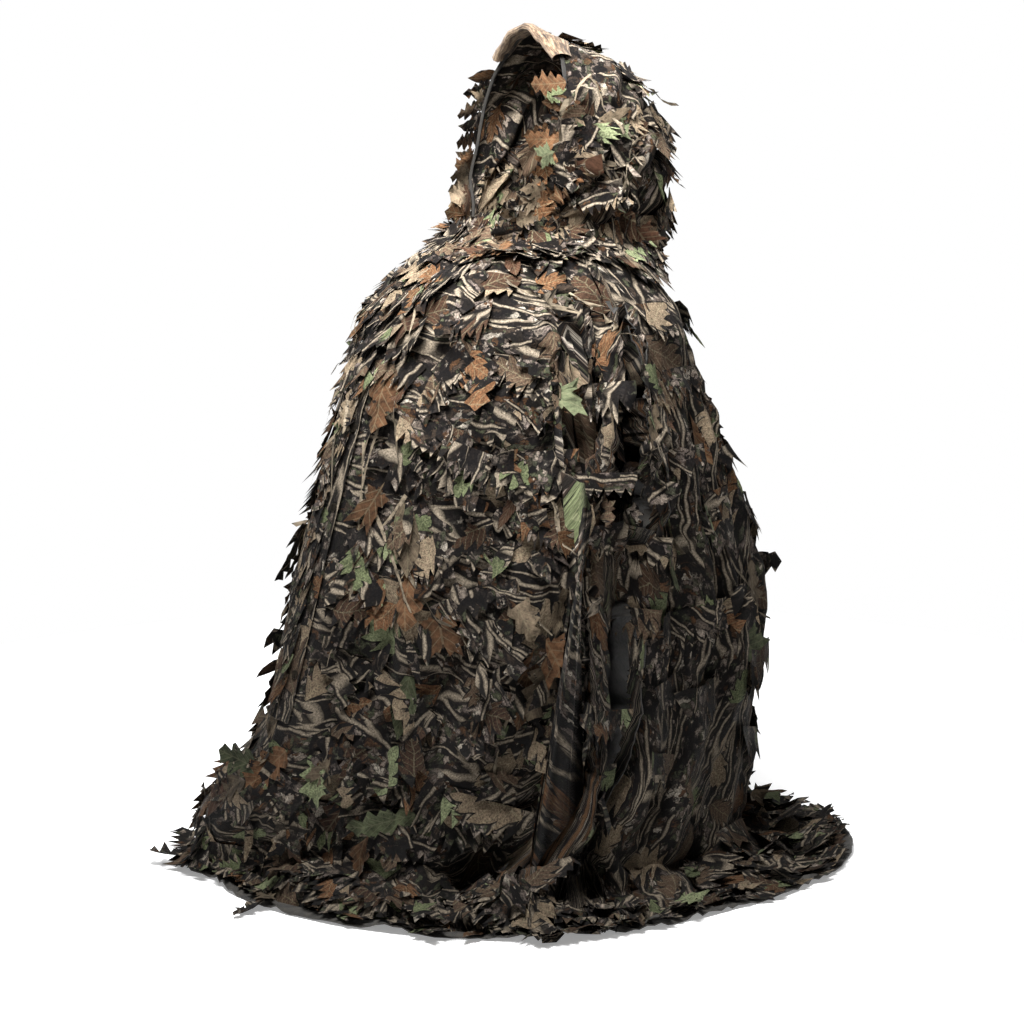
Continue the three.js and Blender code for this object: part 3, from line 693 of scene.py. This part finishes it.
def oak_leaf(rng):
    """A long leaf with four pairs of lobes."""
    rows = 13
    t = np.linspace(0, 1, rows)
    lobe = np.where(np.arange(rows) % 3 == 1, 1.0, np.where(np.arange(rows) % 3 == 2, 0.78, 0.42))
    half = np.sin(np.pi * np.clip(t * 0.92 + 0.08, 0, 1)) ** 0.7 * lobe * rng.uniform(0.85, 1.15, rows)
    half[-1] = 0.02
    across = np.array([-1, -0.5, 0, 0.5, 1])[:, None] * half[None, :]
    down = t[None, :] + 0.05 * np.abs(across) * lobe[None, :]
    return np.stack([across, down], axis=2).reshape(-1, 2), quads(5, rows), 1.0


def star_leaf(rng):
    """A broad leaf with five points."""
    corners = 30
    turn = np.linspace(0, math.tau, corners, endpoint=False)
    share = (np.arange(corners) % 6) / 6
    point = np.where(share < 0.01, 1.0, np.where(np.abs(share - 0.5) < 0.1, 0.38, 0.66))
    reach = point * (0.78 + 0.32 * np.cos(turn - math.pi)) * rng.uniform(0.9, 1.1, corners)
    rings = [np.stack([np.sin(turn) * reach * r, 0.45 - np.cos(turn) * reach * r * 0.55], axis=1)
             for r in (0.45, 1.0)]
    points = np.concatenate([[[0, 0.45]], *rings])
    faces = []
    for i in range(corners):
        j = (i + 1) % corners
        faces += [(0, 1 + i, 1 + j), (1 + i, 1 + corners + i, 1 + corners + j, 1 + j)]
    return points, faces, 1.0


def spear_leaf(rng):
    """A small plain leaf."""
    rows = 8
    t = np.linspace(0, 1, rows)
    half = np.sin(np.pi * np.clip(t * 0.9 + 0.1, 0, 1)) * rng.uniform(0.85, 1.1, rows)
    half[-1] = 0.02
    across = np.array([-1, 0, 1])[:, None] * half[None, :]
    return np.stack([across, t[None, :] + 0 * across], axis=2).reshape(-1, 2), quads(3, rows), 1.0


def twig_strip(rng):
    """A long narrow strip cut round a printed branch, bent along its length and narrowing towards its tip.
    """
    rows = 16
    t = np.linspace(0, 1, rows)
    bend = rng.uniform(-4, 4) * (t - 0.5) ** 2 + rng.uniform(-1.2, 1.2) * np.sin(t * rng.uniform(5, 11))
    half = rng.uniform(0.7, 1.1, rows) * (1 - 0.55 * t)
    across = np.array([-1, 0, 1])[:, None] * half[None, :] + bend[None, :]
    points = np.stack([across, t[None, :] + 0 * across], axis=2).reshape(-1, 2)
    return points, quads(3, rows), 2.0


class Foliage:
    """Gathers leaves into one mesh."""

    def __init__(self, seed):
        self.rng = np.random.default_rng(seed)
        self.points, self.faces, self.places, self.spots, self.tints = [], [], [], [], []
        self.count = 0

    def put(self, kind, width, length, surface, spot, turn, lift, curl,
            down_pull=0.35, most=0.042, tinted=None):
        """Sews one leaf to surface(x, y) at spot. lift and curl are in metres at its tip."""
        rng = self.rng
        shape, faces, rib = kind(rng)
        x = shape[:, 0] * width / 2
        y = shape[:, 1] * length
        turned_x = x * math.cos(turn) + y * math.sin(turn)
        turned_y = y * math.cos(turn) - x * math.sin(turn)
        anchor, right, down, out = surface(spot, 0.0, 0.0, frame_too=True)
        if out[2] < 0.9:
            pulled = down * (1 - down_pull) + np.array([0, 0, -1.0]) * down_pull
            down = pulled / np.linalg.norm(pulled)
            right = right - down * right.dot(down)
            right /= np.linalg.norm(right)
            out = np.cross(right, down) * (1 if np.cross(right, down).dot(out) > 0 else -1)
        share = shape[:, 1]
        wave = 0.006 * np.sin(x * rng.uniform(60, 120) + rng.uniform(0, 6)) * share
        cup = rng.uniform(-0.01, 0.012) * shape[:, 0] ** 2 * share
        rise = 0.003 + lift * share + curl * share ** 3 + wave + cup
        free_way = anchor + turned_x[:, None] * right + turned_y[:, None] * down + rise[:, None] * out
        near, near_out = surface(spot, turned_x, turned_y)
        gap = np.sum((free_way - near) * near_out, axis=1)
        least = 0.0035 + 0.5 * np.clip(rise, 0, 0.03)
        kept = np.clip(gap, least, most)
        if np.abs(kept - gap).max() > 0.045:
            return
        final = free_way + near_out * (kept - gap)[:, None]
        final[:, 2] = np.maximum(final[:, 2], 0.0025 + 0.3 * np.clip(rise, 0, 0.02))
        start = self.count
        self.points.append(final)
        self.faces += [[start + i for i in face] for face in faces]
        self.count += len(final)
        spin = rng.uniform(0, math.tau)
        offset = rng.uniform(-6, 6, 2)
        place = np.stack([x * math.cos(spin) + y * math.sin(spin) + offset[0],
                          y * math.cos(spin) - x * math.sin(spin) + offset[1], x * 0], axis=1)
        self.places.append(place)
        masked = 0.0
        tint = (0.2, 0.15, 0.1)
        if tinted is None and rib == 1.0 and rng.random() < 0.17:
            dyes = [RUST, GREEN, TAN, RUST, PALE_GREEN, DARK_RUST]
            tinted = dyes[rng.choice(6, p=[0.22, 0.1, 0.22, 0.08, 0.08, 0.3])]
        if rib == 2.0:
            tinted = TWIG
        if tinted is not None:
            masked, tint = 1.0, np.array(tinted) * rng.uniform(0.55, 1.2)
        self.spots.append(np.stack([shape[:, 0], shape[:, 1], np.full(len(x), masked)], axis=1))
        self.tints.append(np.tile([*tint, 1.0], (len(x), 1)))

    def finish(self, name, body, slot, nodes, material):
        mesh = bpy.data.meshes.new(name)
        points = kept_in_box(np.concatenate(self.points))
        mesh.from_pydata(points.tolist(), [], self.faces)
        mesh.polygons.foreach_set("use_smooth", [True] * len(mesh.polygons))
        for label, kind, field, rows in (("print_at", "FLOAT_VECTOR", "vector", self.places),
                                         ("leaf_at", "FLOAT_VECTOR", "vector", self.spots),
                                         ("leaf_tint", "FLOAT_COLOR", "color", self.tints)):
            attribute = mesh.attributes.new(label, kind, "POINT")
            attribute.data.foreach_set(field, np.concatenate(rows).reshape(-1).astype(np.float32))
        mesh.materials.append(material)
        made = bpy.data.objects.new(name, mesh)
        bpy.context.scene.collection.objects.link(made)
        if body:
            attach(made, body)
        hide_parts(*nodes)
        return made


def surface_of(points, normals):
    """A function that reads a grid of cloth at a spot (column, row) moved by x and y metres."""
    columns, rows = points.shape[:2]
    across_gap = np.linalg.norm(np.gradient(points, axis=0), axis=2)
    down_gap = np.linalg.norm(np.gradient(points, axis=1), axis=2)

    def read(field, u, v):
        u = np.clip(u, 0, columns - 1.001)
        v = np.clip(v, 0, rows - 1.001)
        i, j = np.floor(u).astype(int), np.floor(v).astype(int)
        a, b = (u - i)[..., None], (v - j)[..., None]
        return ((field[i, j] * (1 - b) + field[i, j + 1] * b) * (1 - a)
                + (field[i + 1, j] * (1 - b) + field[i + 1, j + 1] * b) * a)

    def look(spot, x, y, frame_too=False):
        i, j = int(np.clip(spot[0], 0, columns - 1)), int(np.clip(spot[1], 0, rows - 1))
        low = slice(max(0, i - 3), i + 4), slice(max(0, j - 3), j + 4)
        u = spot[0] + np.asarray(x) / across_gap[low].mean()
        v = spot[1] + np.asarray(y) / down_gap[low].mean()
        at, out = read(points, u, v), read(normals, u, v)
        if not frame_too:
            return at, out / np.linalg.norm(out, axis=-1, keepdims=True)
        right = read(points, u + 1.5, v) - read(points, u - 1.5, v)
        down = read(points, u, v + 1.5) - read(points, u, v - 1.5)
        right, down = right / np.linalg.norm(right), down / np.linalg.norm(down)
        out = np.cross(down, right)
        return at, right, down, out / np.linalg.norm(out)

    return look


# ---------------------------------------------------------------------------------------
# Leaf strips on the cape. Eight bands from collar to foot. Loose and ragged in front and
# over the left shoulder, in straighter rows with bare cloth between them at the back.
# ---------------------------------------------------------------------------------------
on_cape = surface_of(smooth_cape, smooth_normals)
BANDS = 8
foot_row = np.array([np.argmax(column < 0.07) for column in smooth_cape[:, :, 2]])
column_width = np.linalg.norm(np.gradient(smooth_cape, axis=0), axis=2)


def ragged(turn):
    """1 where the strips are loose, 0 where they lie in rows."""
    turn = turn % 360
    return float(max(1 - smooth_step(turn, 52, 78), smooth_step(turn, 290, 325)))


def sew_band(foliage, band_number):
    rng = foliage.rng
    for sub, row_share in enumerate((0.0, 0.34, 0.67)):
        share = (band_number + row_share) / BANDS
        column = 1.0
        while column < AROUND - 2:
            turn = turn_deg[int(column), 0]
            loose = ragged(turn)
            row = 1.0 + share * (foot_row[int(column)] - 4) + rng.normal(0, 1.2 + 1.6 * loose)
            i, j = int(column), int(np.clip(row, 0, DOWN - 1))
            gap = column_width[max(0, i - 2):i + 3, j].mean()
            keep = (0.8 if sub == 0 else 0.14) + (0.16 if sub == 0 else 0.74) * loose
            kinds = (strip_leaf, oak_leaf, star_leaf, spear_leaf)
            if loose >= 0.5:
                kind = kinds[rng.choice(4, p=[0.46, 0.24, 0.17, 0.13])]
            elif sub == 0 or rng.random() < 0.4:
                kind = strip_leaf
            else:
                kind = kinds[1 + rng.integers(3)]
            if kind is strip_leaf:
                width, length = rng.uniform(0.07, 0.15), rng.uniform(0.045, 0.08)
            elif kind is oak_leaf:
                width, length = rng.uniform(0.04, 0.066), rng.uniform(0.07, 0.115)
            elif kind is star_leaf:
                width, length = rng.uniform(0.075, 0.11), rng.uniform(0.08, 0.115)
            else:
                width, length = rng.uniform(0.018, 0.03), rng.uniform(0.045, 0.075)
            lift = rng.uniform(0.003, 0.012) + loose * rng.uniform(0, 0.014)
            curl = rng.uniform(0.0, 0.009) + (rng.random() < 0.25) * rng.uniform(0.006, 0.018)
            turned = rng.normal(0, 0.09 + 0.42 * loose if kind is strip_leaf else 0.35 + 0.3 * loose)
            reach = 0.5 * width / gap + 4.5
            under_flap = 0.25 < smooth_cape[i, j, 2] < 0.8 and not reach < column < AROUND - 1 - reach
            if rng.random() < keep and drape[i, j] > -0.02 and not under_flap:
                foliage.put(kind, width, length, on_cape, (column, row), turned, lift, curl,
                            most=0.016 + 0.026 * loose)
            step = width if kind is strip_leaf else 0.055
            column += max(0.8, step * rng.uniform(0.62, 0.9) / gap)


for number in range(BANDS):
    foliage = Foliage(100 + number)
    sew_band(foliage, number)
    foliage.finish(f"leaves_row_{number + 1}", "cape", "leaf_cloth",
                                      [f"leaf_row_{number + 1}"], leaf_cloth)

# The largest leaves, sewn on singly and scattered over the whole cape by a seeded draw. Each
# keeps clear of the last by the golden angle, at a share of the cape's own height.
foliage = Foliage(260)
cape_foot = min(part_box(node)[0][2] for node in PANELS)
cape_height = max(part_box(node)[1][2] for node in PANELS) - cape_foot
for number in range(34):
    kind = (star_leaf, star_leaf, oak_leaf, spear_leaf)[foliage.rng.integers(4)]
    tint = (PALE_GREEN, GREEN, RUST, RUST, DARK_RUST, TAN)[foliage.rng.integers(6)]
    width, length = foliage.rng.uniform(0.05, 0.12), foliage.rng.uniform(0.07, 0.13)
    width *= 0.5 if kind is spear_leaf else 0.7 if kind is oak_leaf else 1.0
    turn = (number * 137.5 + foliage.rng.normal(0, 8)) % 360
    leaf_height = cape_foot + cape_height * foliage.rng.uniform(0.2, 0.9)
    column = min(max(turn / 360 * (AROUND - 1), 4), AROUND - 5)
    row = float(np.argmax(smooth_cape[int(column), :, 2] < leaf_height + length * 0.4))
    foliage.put(kind, width, length, on_cape, (column, row), foliage.rng.normal(0, 0.35), 0.012, 0.008,
                most=0.03, tinted=tint)
large_leaves = foliage.finish("leaves_large", "cape", "leaf_cloth", [], leaf_cloth)

# Branch strips: long narrow cuts that trail over the shoulders and chest.
foliage = Foliage(250)
for _ in range(64):
    rng = foliage.rng
    turn = rng.uniform(-75, 110) if rng.random() < 0.8 else rng.uniform(0, 360)
    column = (turn % 360) / 360 * (AROUND - 1)
    row = rng.uniform(0.05, 0.75) * (foot_row[int(column)] - 6)
    foliage.put(twig_strip, rng.uniform(0.005, 0.0095), rng.uniform(0.11, 0.26), on_cape, (column, row),
                rng.normal(0.45, 0.6), rng.uniform(0.006, 0.012), rng.uniform(-0.008, 0.002),
                down_pull=0.1, most=0.02)
twigs = foliage.finish("branch_strips", "cape", "leaf_cloth", [], leaf_cloth)

# Leaves on the cloth that lies round the feet, and along the hem.
foliage = Foliage(300)
for ring in range(5):
    column = 1.0
    while column < AROUND - 2:
        rng = foliage.rng
        first = foot_row[int(column)]
        row = first + (DOWN - first) * (0.02 + 0.23 * ring) + rng.normal(0, 1.0)
        if ring == 4:
            row = min(row, DOWN - 5)
        gap = column_width[max(0, int(column) - 2):int(column) + 3, min(int(row), DOWN - 1)].mean()
        kind = (strip_leaf, oak_leaf, star_leaf, spear_leaf)[rng.choice(4, p=[0.5, 0.25, 0.15, 0.1])]
        usual_width = {strip_leaf: 0.12, oak_leaf: 0.05, star_leaf: 0.085, spear_leaf: 0.026}[kind]
        usual_length = {strip_leaf: 0.06, oak_leaf: 0.085, star_leaf: 0.09, spear_leaf: 0.06}[kind]
        width = usual_width * rng.uniform(0.8, 1.25)
        length = usual_length * rng.uniform(0.75, 1.15)
        if ring == 4:
            length *= 0.5
        foliage.put(kind, width, length, on_cape, (column, row), rng.normal(0, 0.7),
                    rng.uniform(0.004, 0.016), rng.uniform(0, 0.012), down_pull=0.0)
        column += max(0.7, 0.07 * rng.uniform(0.6, 1.1) / gap)
hem_leaves = foliage.finish("leaves_hem", "cape", "leaf_cloth", [], leaf_cloth)

# ---------------------------------------------------------------------------------------
# The hood. Printed cloth in three panels, wrinkled, sewn to the neck seam, with its
# lining side open to view. A folded peak of plain bark print stands over the brow.
# ---------------------------------------------------------------------------------------
HOOD_PANELS = ["hood_panel_left", "hood_panel_crown", "hood_panel_right"]
HOOD_ACROSS, HOOD_BACK = 90, 70
hood_tree = cad_tree(HOOD_PANELS)
pivot = Vector((0, -0.0286, 0.991))
arch_turns = np.radians(np.linspace(1.0, 179.0, HOOD_ACROSS))
fan_turns = np.radians(np.linspace(77.4, 1.6, HOOD_BACK))
hood_points = np.zeros((HOOD_ACROSS, HOOD_BACK, 3))
for i, arch_turn in enumerate(arch_turns):
    for k, fan_turn in enumerate(fan_turns):
        way = Vector((math.cos(arch_turn), math.sin(arch_turn) * math.cos(fan_turn),
                      math.sin(arch_turn) * math.sin(fan_turn)))
        hit = hood_tree.ray_cast(pivot + way * 0.7, -way)[0]
        hood_points[i, k] = hit if hit is not None else hood_points[i, k - 1]
rise = smooth_step(hood_points[:, :, 2], 1.0, 1.06)
hood_normals = grid_normals(hood_points)
outward = np.sign(np.sum(hood_normals * (hood_points - np.array(pivot)), axis=2, keepdims=True))
flipped = np.median(outward) < 0
back_share = np.linspace(0, 1, HOOD_BACK)[None, :]
side_share = np.linspace(-1, 1, HOOD_ACROSS)[:, None]
folds = 0.007 * np.sin(back_share * 21 + 3.0 * np.sin(side_share * 3.1) + side_share * 4)
folds += 0.005 * np.sin(back_share * 37 - 5 * side_share + 2 * np.sin(side_share * 5))
folds = folds * smooth_step(back_share, 0.06, 0.35) * rise
sign = -1.0 if flipped else 1.0
hood_points = hood_points + sign * hood_normals * folds[:, :, None]
hood_points = crumpled(hood_points, 0.07, 0.014 * sign, 5.0, rise)
smooth_hood, smooth_hood_normals = hood_points.copy(), sign * grid_normals(hood_points)
hood_points = crumpled(hood_points, 0.028, 0.006, 6.0, rise)
hood_points = crumpled(hood_points, 0.013, 0.0018, 7.0, rise)
over_head = run_along(smooth_hood, 0)
over_head -= over_head[HOOD_ACROSS // 2]
hood_place = np.stack([over_head + 3.3, run_along(smooth_hood, 1), np.zeros_like(over_head)], axis=2)
hood_cloth = sheet_from_grid("hood_cloth", hood_points, hood_place, printed_cloth)
if not flipped:
    hood_cloth.data.flip_normals()
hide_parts(*HOOD_PANELS)

rim = smooth_hood[:, :2]
rim_out = smooth_hood_normals[:, :2]
binding = band("hood_binding", rim + rim_out * 0.0022, rim - rim_out * 0.0022,
               "hood_opening_binding", "hood")

# The peak: a folded strip of tan bark print standing forward of the brow.
bark_cloth = bpy.data.materials.new("bark print cloth")
bark_cloth.use_nodes = True
w = Wiring(bark_cloth.node_tree)
shader = bark_cloth.node_tree.nodes["Principled BSDF"]
place = w.add("ShaderNodeAttribute", attribute_name="print_at").outputs["Vector"]
grain = w.noise(w.turned(place, 0.1, (1, 4, 1)), 45, 6, 0.72).outputs[0]
bark = w.ramp(grain, [(0.34, (0.015, 0.01, 0.006)), (0.45, (0.09, 0.052, 0.028)), (0.55, (0.22, 0.15, 0.09)),
                      (0.68, (0.34, 0.26, 0.175))])
w.tree.links.new(bark, shader.inputs["Base Color"])
weave = w.add("ShaderNodeGroup", {}, node_tree=weave_tree)
w.tree.links.new(place, weave.inputs["Place"])
weave.inputs["Threads per metre"].default_value = 700
bump = w.add("ShaderNodeBump", {"Height": weave.outputs["Height"], "Strength": 0.5, "Distance": 0.003})
w.tree.links.new(bump.outputs[0], shader.inputs["Normal"])
w.tree.links.new(w.math("MULTIPLY_ADD", grain, 0.2, 0.74), shader.inputs["Roughness"])
shader.inputs["Sheen Weight"].default_value = 0.12

peak_low, peak_high = (np.array(c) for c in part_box("hood_peak"))
chosen = np.arange(int(HOOD_ACROSS * 0.4), int(HOOD_ACROSS * 0.62))
brow = smooth_hood[chosen]
brow_out = smooth_hood_normals[chosen]
forward = brow[:, 0] - brow[:, 2]
forward /= np.linalg.norm(forward, axis=1, keepdims=True)
edge_fade = np.sin(np.linspace(0.12, math.pi - 0.12, len(chosen)))[:, None]
reach = peak_high[1] - peak_low[1]
layers = []
for ahead, off in ((-0.03, 0.004), (-0.012, 0.009), (0.008, 0.011), (0.022, 0.008), (0.026, 0.002),
                   (0.02, -0.003), (0.004, -0.003), (-0.014, -0.0015)):
    layers.append(brow[:, 0] + forward * ahead * (0.5 + 0.5 * edge_fade) + brow_out[:, 0] * off)
peak_points = np.stack(layers, axis=1)
along = np.cumsum(np.concatenate([[0], np.linalg.norm(np.diff(peak_points[:, 0], axis=0), axis=1)]))
across = np.cumsum([0] + [0.015] * (len(layers) - 1))
peak_place = np.stack([along[:, None] + 0 * across, across[None, :] + 0 * along[:, None],
                       0 * along[:, None] * across], axis=2)
peak_points = crumpled(peak_points, 0.02, 0.003, 2.0)
peak = sheet_from_grid("peak", kept_in_box(peak_points), peak_place, bark_cloth)
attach(peak, "hood")
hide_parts("hood_peak")

# Leaves on the hood: a fringe of points round the face, and loose leaves over the back.
on_hood = surface_of(smooth_hood, smooth_hood_normals)
fringes = {"left": Foliage(410), "right": Foliage(411)}
for side, foliage in fringes.items():
    rng = foliage.rng
    for i in np.linspace(3, HOOD_ACROSS * 0.36, 22):
        column = i if side == "left" else HOOD_ACROSS - 1 - i
        kind = (oak_leaf, spear_leaf, star_leaf)[rng.choice(3, p=[0.5, 0.3, 0.2])]
        width = {oak_leaf: 0.04, spear_leaf: 0.024, star_leaf: 0.055}[kind] * rng.uniform(0.8, 1.2)
        foliage.put(kind, width, rng.uniform(0.035, 0.06), on_hood, (column, rng.uniform(0.5, 4.5)),
                    math.pi + rng.normal(0, 0.3), rng.uniform(0.0, 0.006), rng.uniform(0, 0.02),
                    down_pull=0.0, tinted=(None, TAN, RUST)[rng.choice(3, p=[0.45, 0.3, 0.25])])
fringe_pieces = [foliage.finish(f"fringe_{side}", "hood", "leaf_cloth", [f"hood_fringe_{side}"], leaf_cloth)
                 for side, foliage in fringes.items()]
for number in range(3):
    foliage = Foliage(420 + number)
    rng = foliage.rng
    for _ in range(11):
        foliage.put(twig_strip, rng.uniform(0.004, 0.008), rng.uniform(0.08, 0.15), on_hood,
                    (rng.uniform(10, HOOD_ACROSS - 10), 3 + (number + rng.random()) * (HOOD_BACK - 40) / 3),
                    rng.choice([-1, 1]) * rng.uniform(0.7, 1.6), 0.004, 0.0, down_pull=0.0, most=0.009)
    for _ in range(46):
        column = rng.uniform(6, HOOD_ACROSS - 7)
        row = 6 + (number + rng.random()) * (HOOD_BACK - 24) / 3
        if smooth_hood[int(column), int(row), 2] < 1.055:
            continue
        kind = (strip_leaf, oak_leaf, spear_leaf, star_leaf)[rng.choice(4, p=[0.4, 0.24, 0.24, 0.12])]
        usual_width = {strip_leaf: 0.07, oak_leaf: 0.042, spear_leaf: 0.02, star_leaf: 0.06}[kind]
        width = usual_width * rng.uniform(0.8, 1.2)
        foliage.put(kind, width, rng.uniform(0.04, 0.07), on_hood, (column, row), rng.normal(0, 0.6),
                    rng.uniform(0.002, 0.009), rng.uniform(0, 0.014), down_pull=0.15)
    fringe_pieces.append(foliage.finish(f"hood_leaves_{number + 1}", "hood", "leaf_cloth",
                                        [f"hood_leaf_row_{number + 1}"], leaf_cloth))
collar = Foliage(440)
rng = collar.rng
for ring in range(2):
    for column in np.arange(1.5, HOOD_ACROSS - 2, 3.1):
        heights = smooth_hood[int(column), :, 2]
        seam_row = HOOD_BACK - 1 - 4 * ring - rng.uniform(0, 3)
        if heights[int(seam_row)] > 1.03 or not 10 < column < HOOD_ACROSS - 10:
            continue
        kind = (strip_leaf, oak_leaf, star_leaf)[rng.choice(3, p=[0.45, 0.3, 0.25])]
        width = {strip_leaf: 0.085, oak_leaf: 0.045, star_leaf: 0.075}[kind] * rng.uniform(0.8, 1.2)
        collar.put(kind, width, rng.uniform(0.055, 0.085), on_hood, (column, seam_row), rng.normal(0, 0.4),
                   rng.uniform(0.012, 0.03), rng.uniform(0.0, 0.02), down_pull=0.5, most=0.05)
for column in np.arange(2, AROUND - 3, 3.3):
    kind = (strip_leaf, oak_leaf, star_leaf)[rng.choice(3, p=[0.5, 0.3, 0.2])]
    width = {strip_leaf: 0.08, oak_leaf: 0.045, star_leaf: 0.07}[kind] * rng.uniform(0.8, 1.2)
    collar.put(kind, width, rng.uniform(0.03, 0.05), on_cape, (column, rng.uniform(0.2, 2.0)),
               math.pi + rng.normal(0, 0.5), rng.uniform(0.004, 0.012), rng.uniform(0.0, 0.008),
               down_pull=0.0)
    collar.put(kind, width, rng.uniform(0.05, 0.08), on_cape, (column + 1.2, rng.uniform(0.2, 2.5)),
               rng.normal(0, 0.5), rng.uniform(0.006, 0.02), rng.uniform(0.0, 0.012))
collar_leaves = collar.finish("leaves_collar", "cape", "leaf_cloth", [], leaf_cloth)
rim_leaves = Foliage(450)
rng = rim_leaves.rng
for column in np.arange(4, HOOD_ACROSS - 5, 2.6):
    kind = (strip_leaf, oak_leaf, spear_leaf)[rng.choice(3, p=[0.4, 0.3, 0.3])]
    width = {strip_leaf: 0.06, oak_leaf: 0.038, spear_leaf: 0.022}[kind] * rng.uniform(0.8, 1.2)
    if 0.36 < column / HOOD_ACROSS < 0.66:
        continue
    rim_leaves.put(kind, width, rng.uniform(0.04, 0.06), on_hood, (column, rng.uniform(0.2, 2.0)),
                   rng.normal(0, 0.5), rng.uniform(0.004, 0.01), rng.uniform(0, 0.01), down_pull=0.2)
fringe_pieces.append(rim_leaves.finish("hood_leaves_rim", "hood", "leaf_cloth", [], leaf_cloth))
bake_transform(hood_cloth)

# ---------------------------------------------------------------------------------------
# Storm flap over the front opening. One printed strip sewn down its wearer's-right edge,
# closed by four dark metal snaps, with leaf strips on it.
# ---------------------------------------------------------------------------------------
flap_low, flap_high = (np.array(c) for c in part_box("storm_flap"))
flap_tree = cad_tree(["storm_flap"])
flap_columns = np.linspace(flap_low[0] + 0.0006, flap_high[0] - 0.0006, 12)
flap_rows = np.linspace(flap_high[2] - 0.004, flap_low[2] + 0.004, 70)
flap_points = np.zeros((len(flap_columns), len(flap_rows), 3))
for i, x in enumerate(flap_columns):
    for k, height_here in enumerate(flap_rows):
        hit = flap_tree.ray_cast(Vector((x, -1.5, height_here)), Vector((0, 1, 0)))[0]
        if hit is not None:
            flap_points[i, k] = hit
        elif k > 0:
            flap_points[i, k] = flap_points[i, k - 1] + (flap_points[i, k - 1] - flap_points[i, k - 2])
flap_normals = grid_normals(flap_points)
flap_points = crumpled(flap_points, 0.03, 0.0012, 1.0)
flap_place = np.stack([flap_points[:, :, 0] + 5.1, flap_points[:, :, 2], flap_points[:, :, 0] * 0], axis=2)
flap_cloth = sheet_from_grid("flap_cloth", flap_points, flap_place, printed_cloth)
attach(flap_cloth, "storm_flap")
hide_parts("storm_flap")
on_flap = surface_of(flap_points, flap_normals)
for number in range(3):
    foliage = Foliage(500 + number)
    rng = foliage.rng
    for step in range(11):
        row = 2 + (number + step / 11) * 21
        kind = (strip_leaf, oak_leaf, spear_leaf)[rng.choice(3, p=[0.5, 0.3, 0.2])]
        width = {strip_leaf: 0.05, oak_leaf: 0.036, spear_leaf: 0.02}[kind] * rng.uniform(0.8, 1.1)
        foliage.put(kind, width, rng.uniform(0.045, 0.065), on_flap, (rng.uniform(3.5, 5.5), row),
                    rng.normal(0, 0.12), rng.uniform(0.002, 0.008), rng.uniform(0, 0.01))
    foliage.finish(f"flap_leaves_{number + 1}", "storm_flap", "leaf_cloth",
                                      [f"flap_leaf_row_{number + 1}"], leaf_cloth)

# Snaps. Pressed dark brass studs and caps, kept as the frame has them.
snap_metal = bpy.data.materials.new("dark snap metal")
snap_metal.use_nodes = True
w = Wiring(snap_metal.node_tree)
shader = snap_metal.node_tree.nodes["Principled BSDF"]
place = w.add("ShaderNodeTexCoord").outputs["Object"]
rubbed = w.noise(place, 260, 4, 0.6)
rubbed.noise_dimensions = "3D"
rubbed_colour = w.ramp(rubbed.outputs[0], [(0.35, (0.03, 0.026, 0.02)), (0.7, (0.12, 0.1, 0.075))])
w.tree.links.new(rubbed_colour, shader.inputs["Base Color"])
w.tree.links.new(w.math("MULTIPLY_ADD", rubbed.outputs[0], 0.3, 0.25), shader.inputs["Roughness"])
shader.inputs["Metallic"].default_value = 0.9
for number in range(1, 5):
    for part in ("snap_stud", "snap_cap"):
        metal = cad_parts[f"{part}_{number}"]
        metal.data.materials.clear()
        metal.data.materials.append(snap_metal)
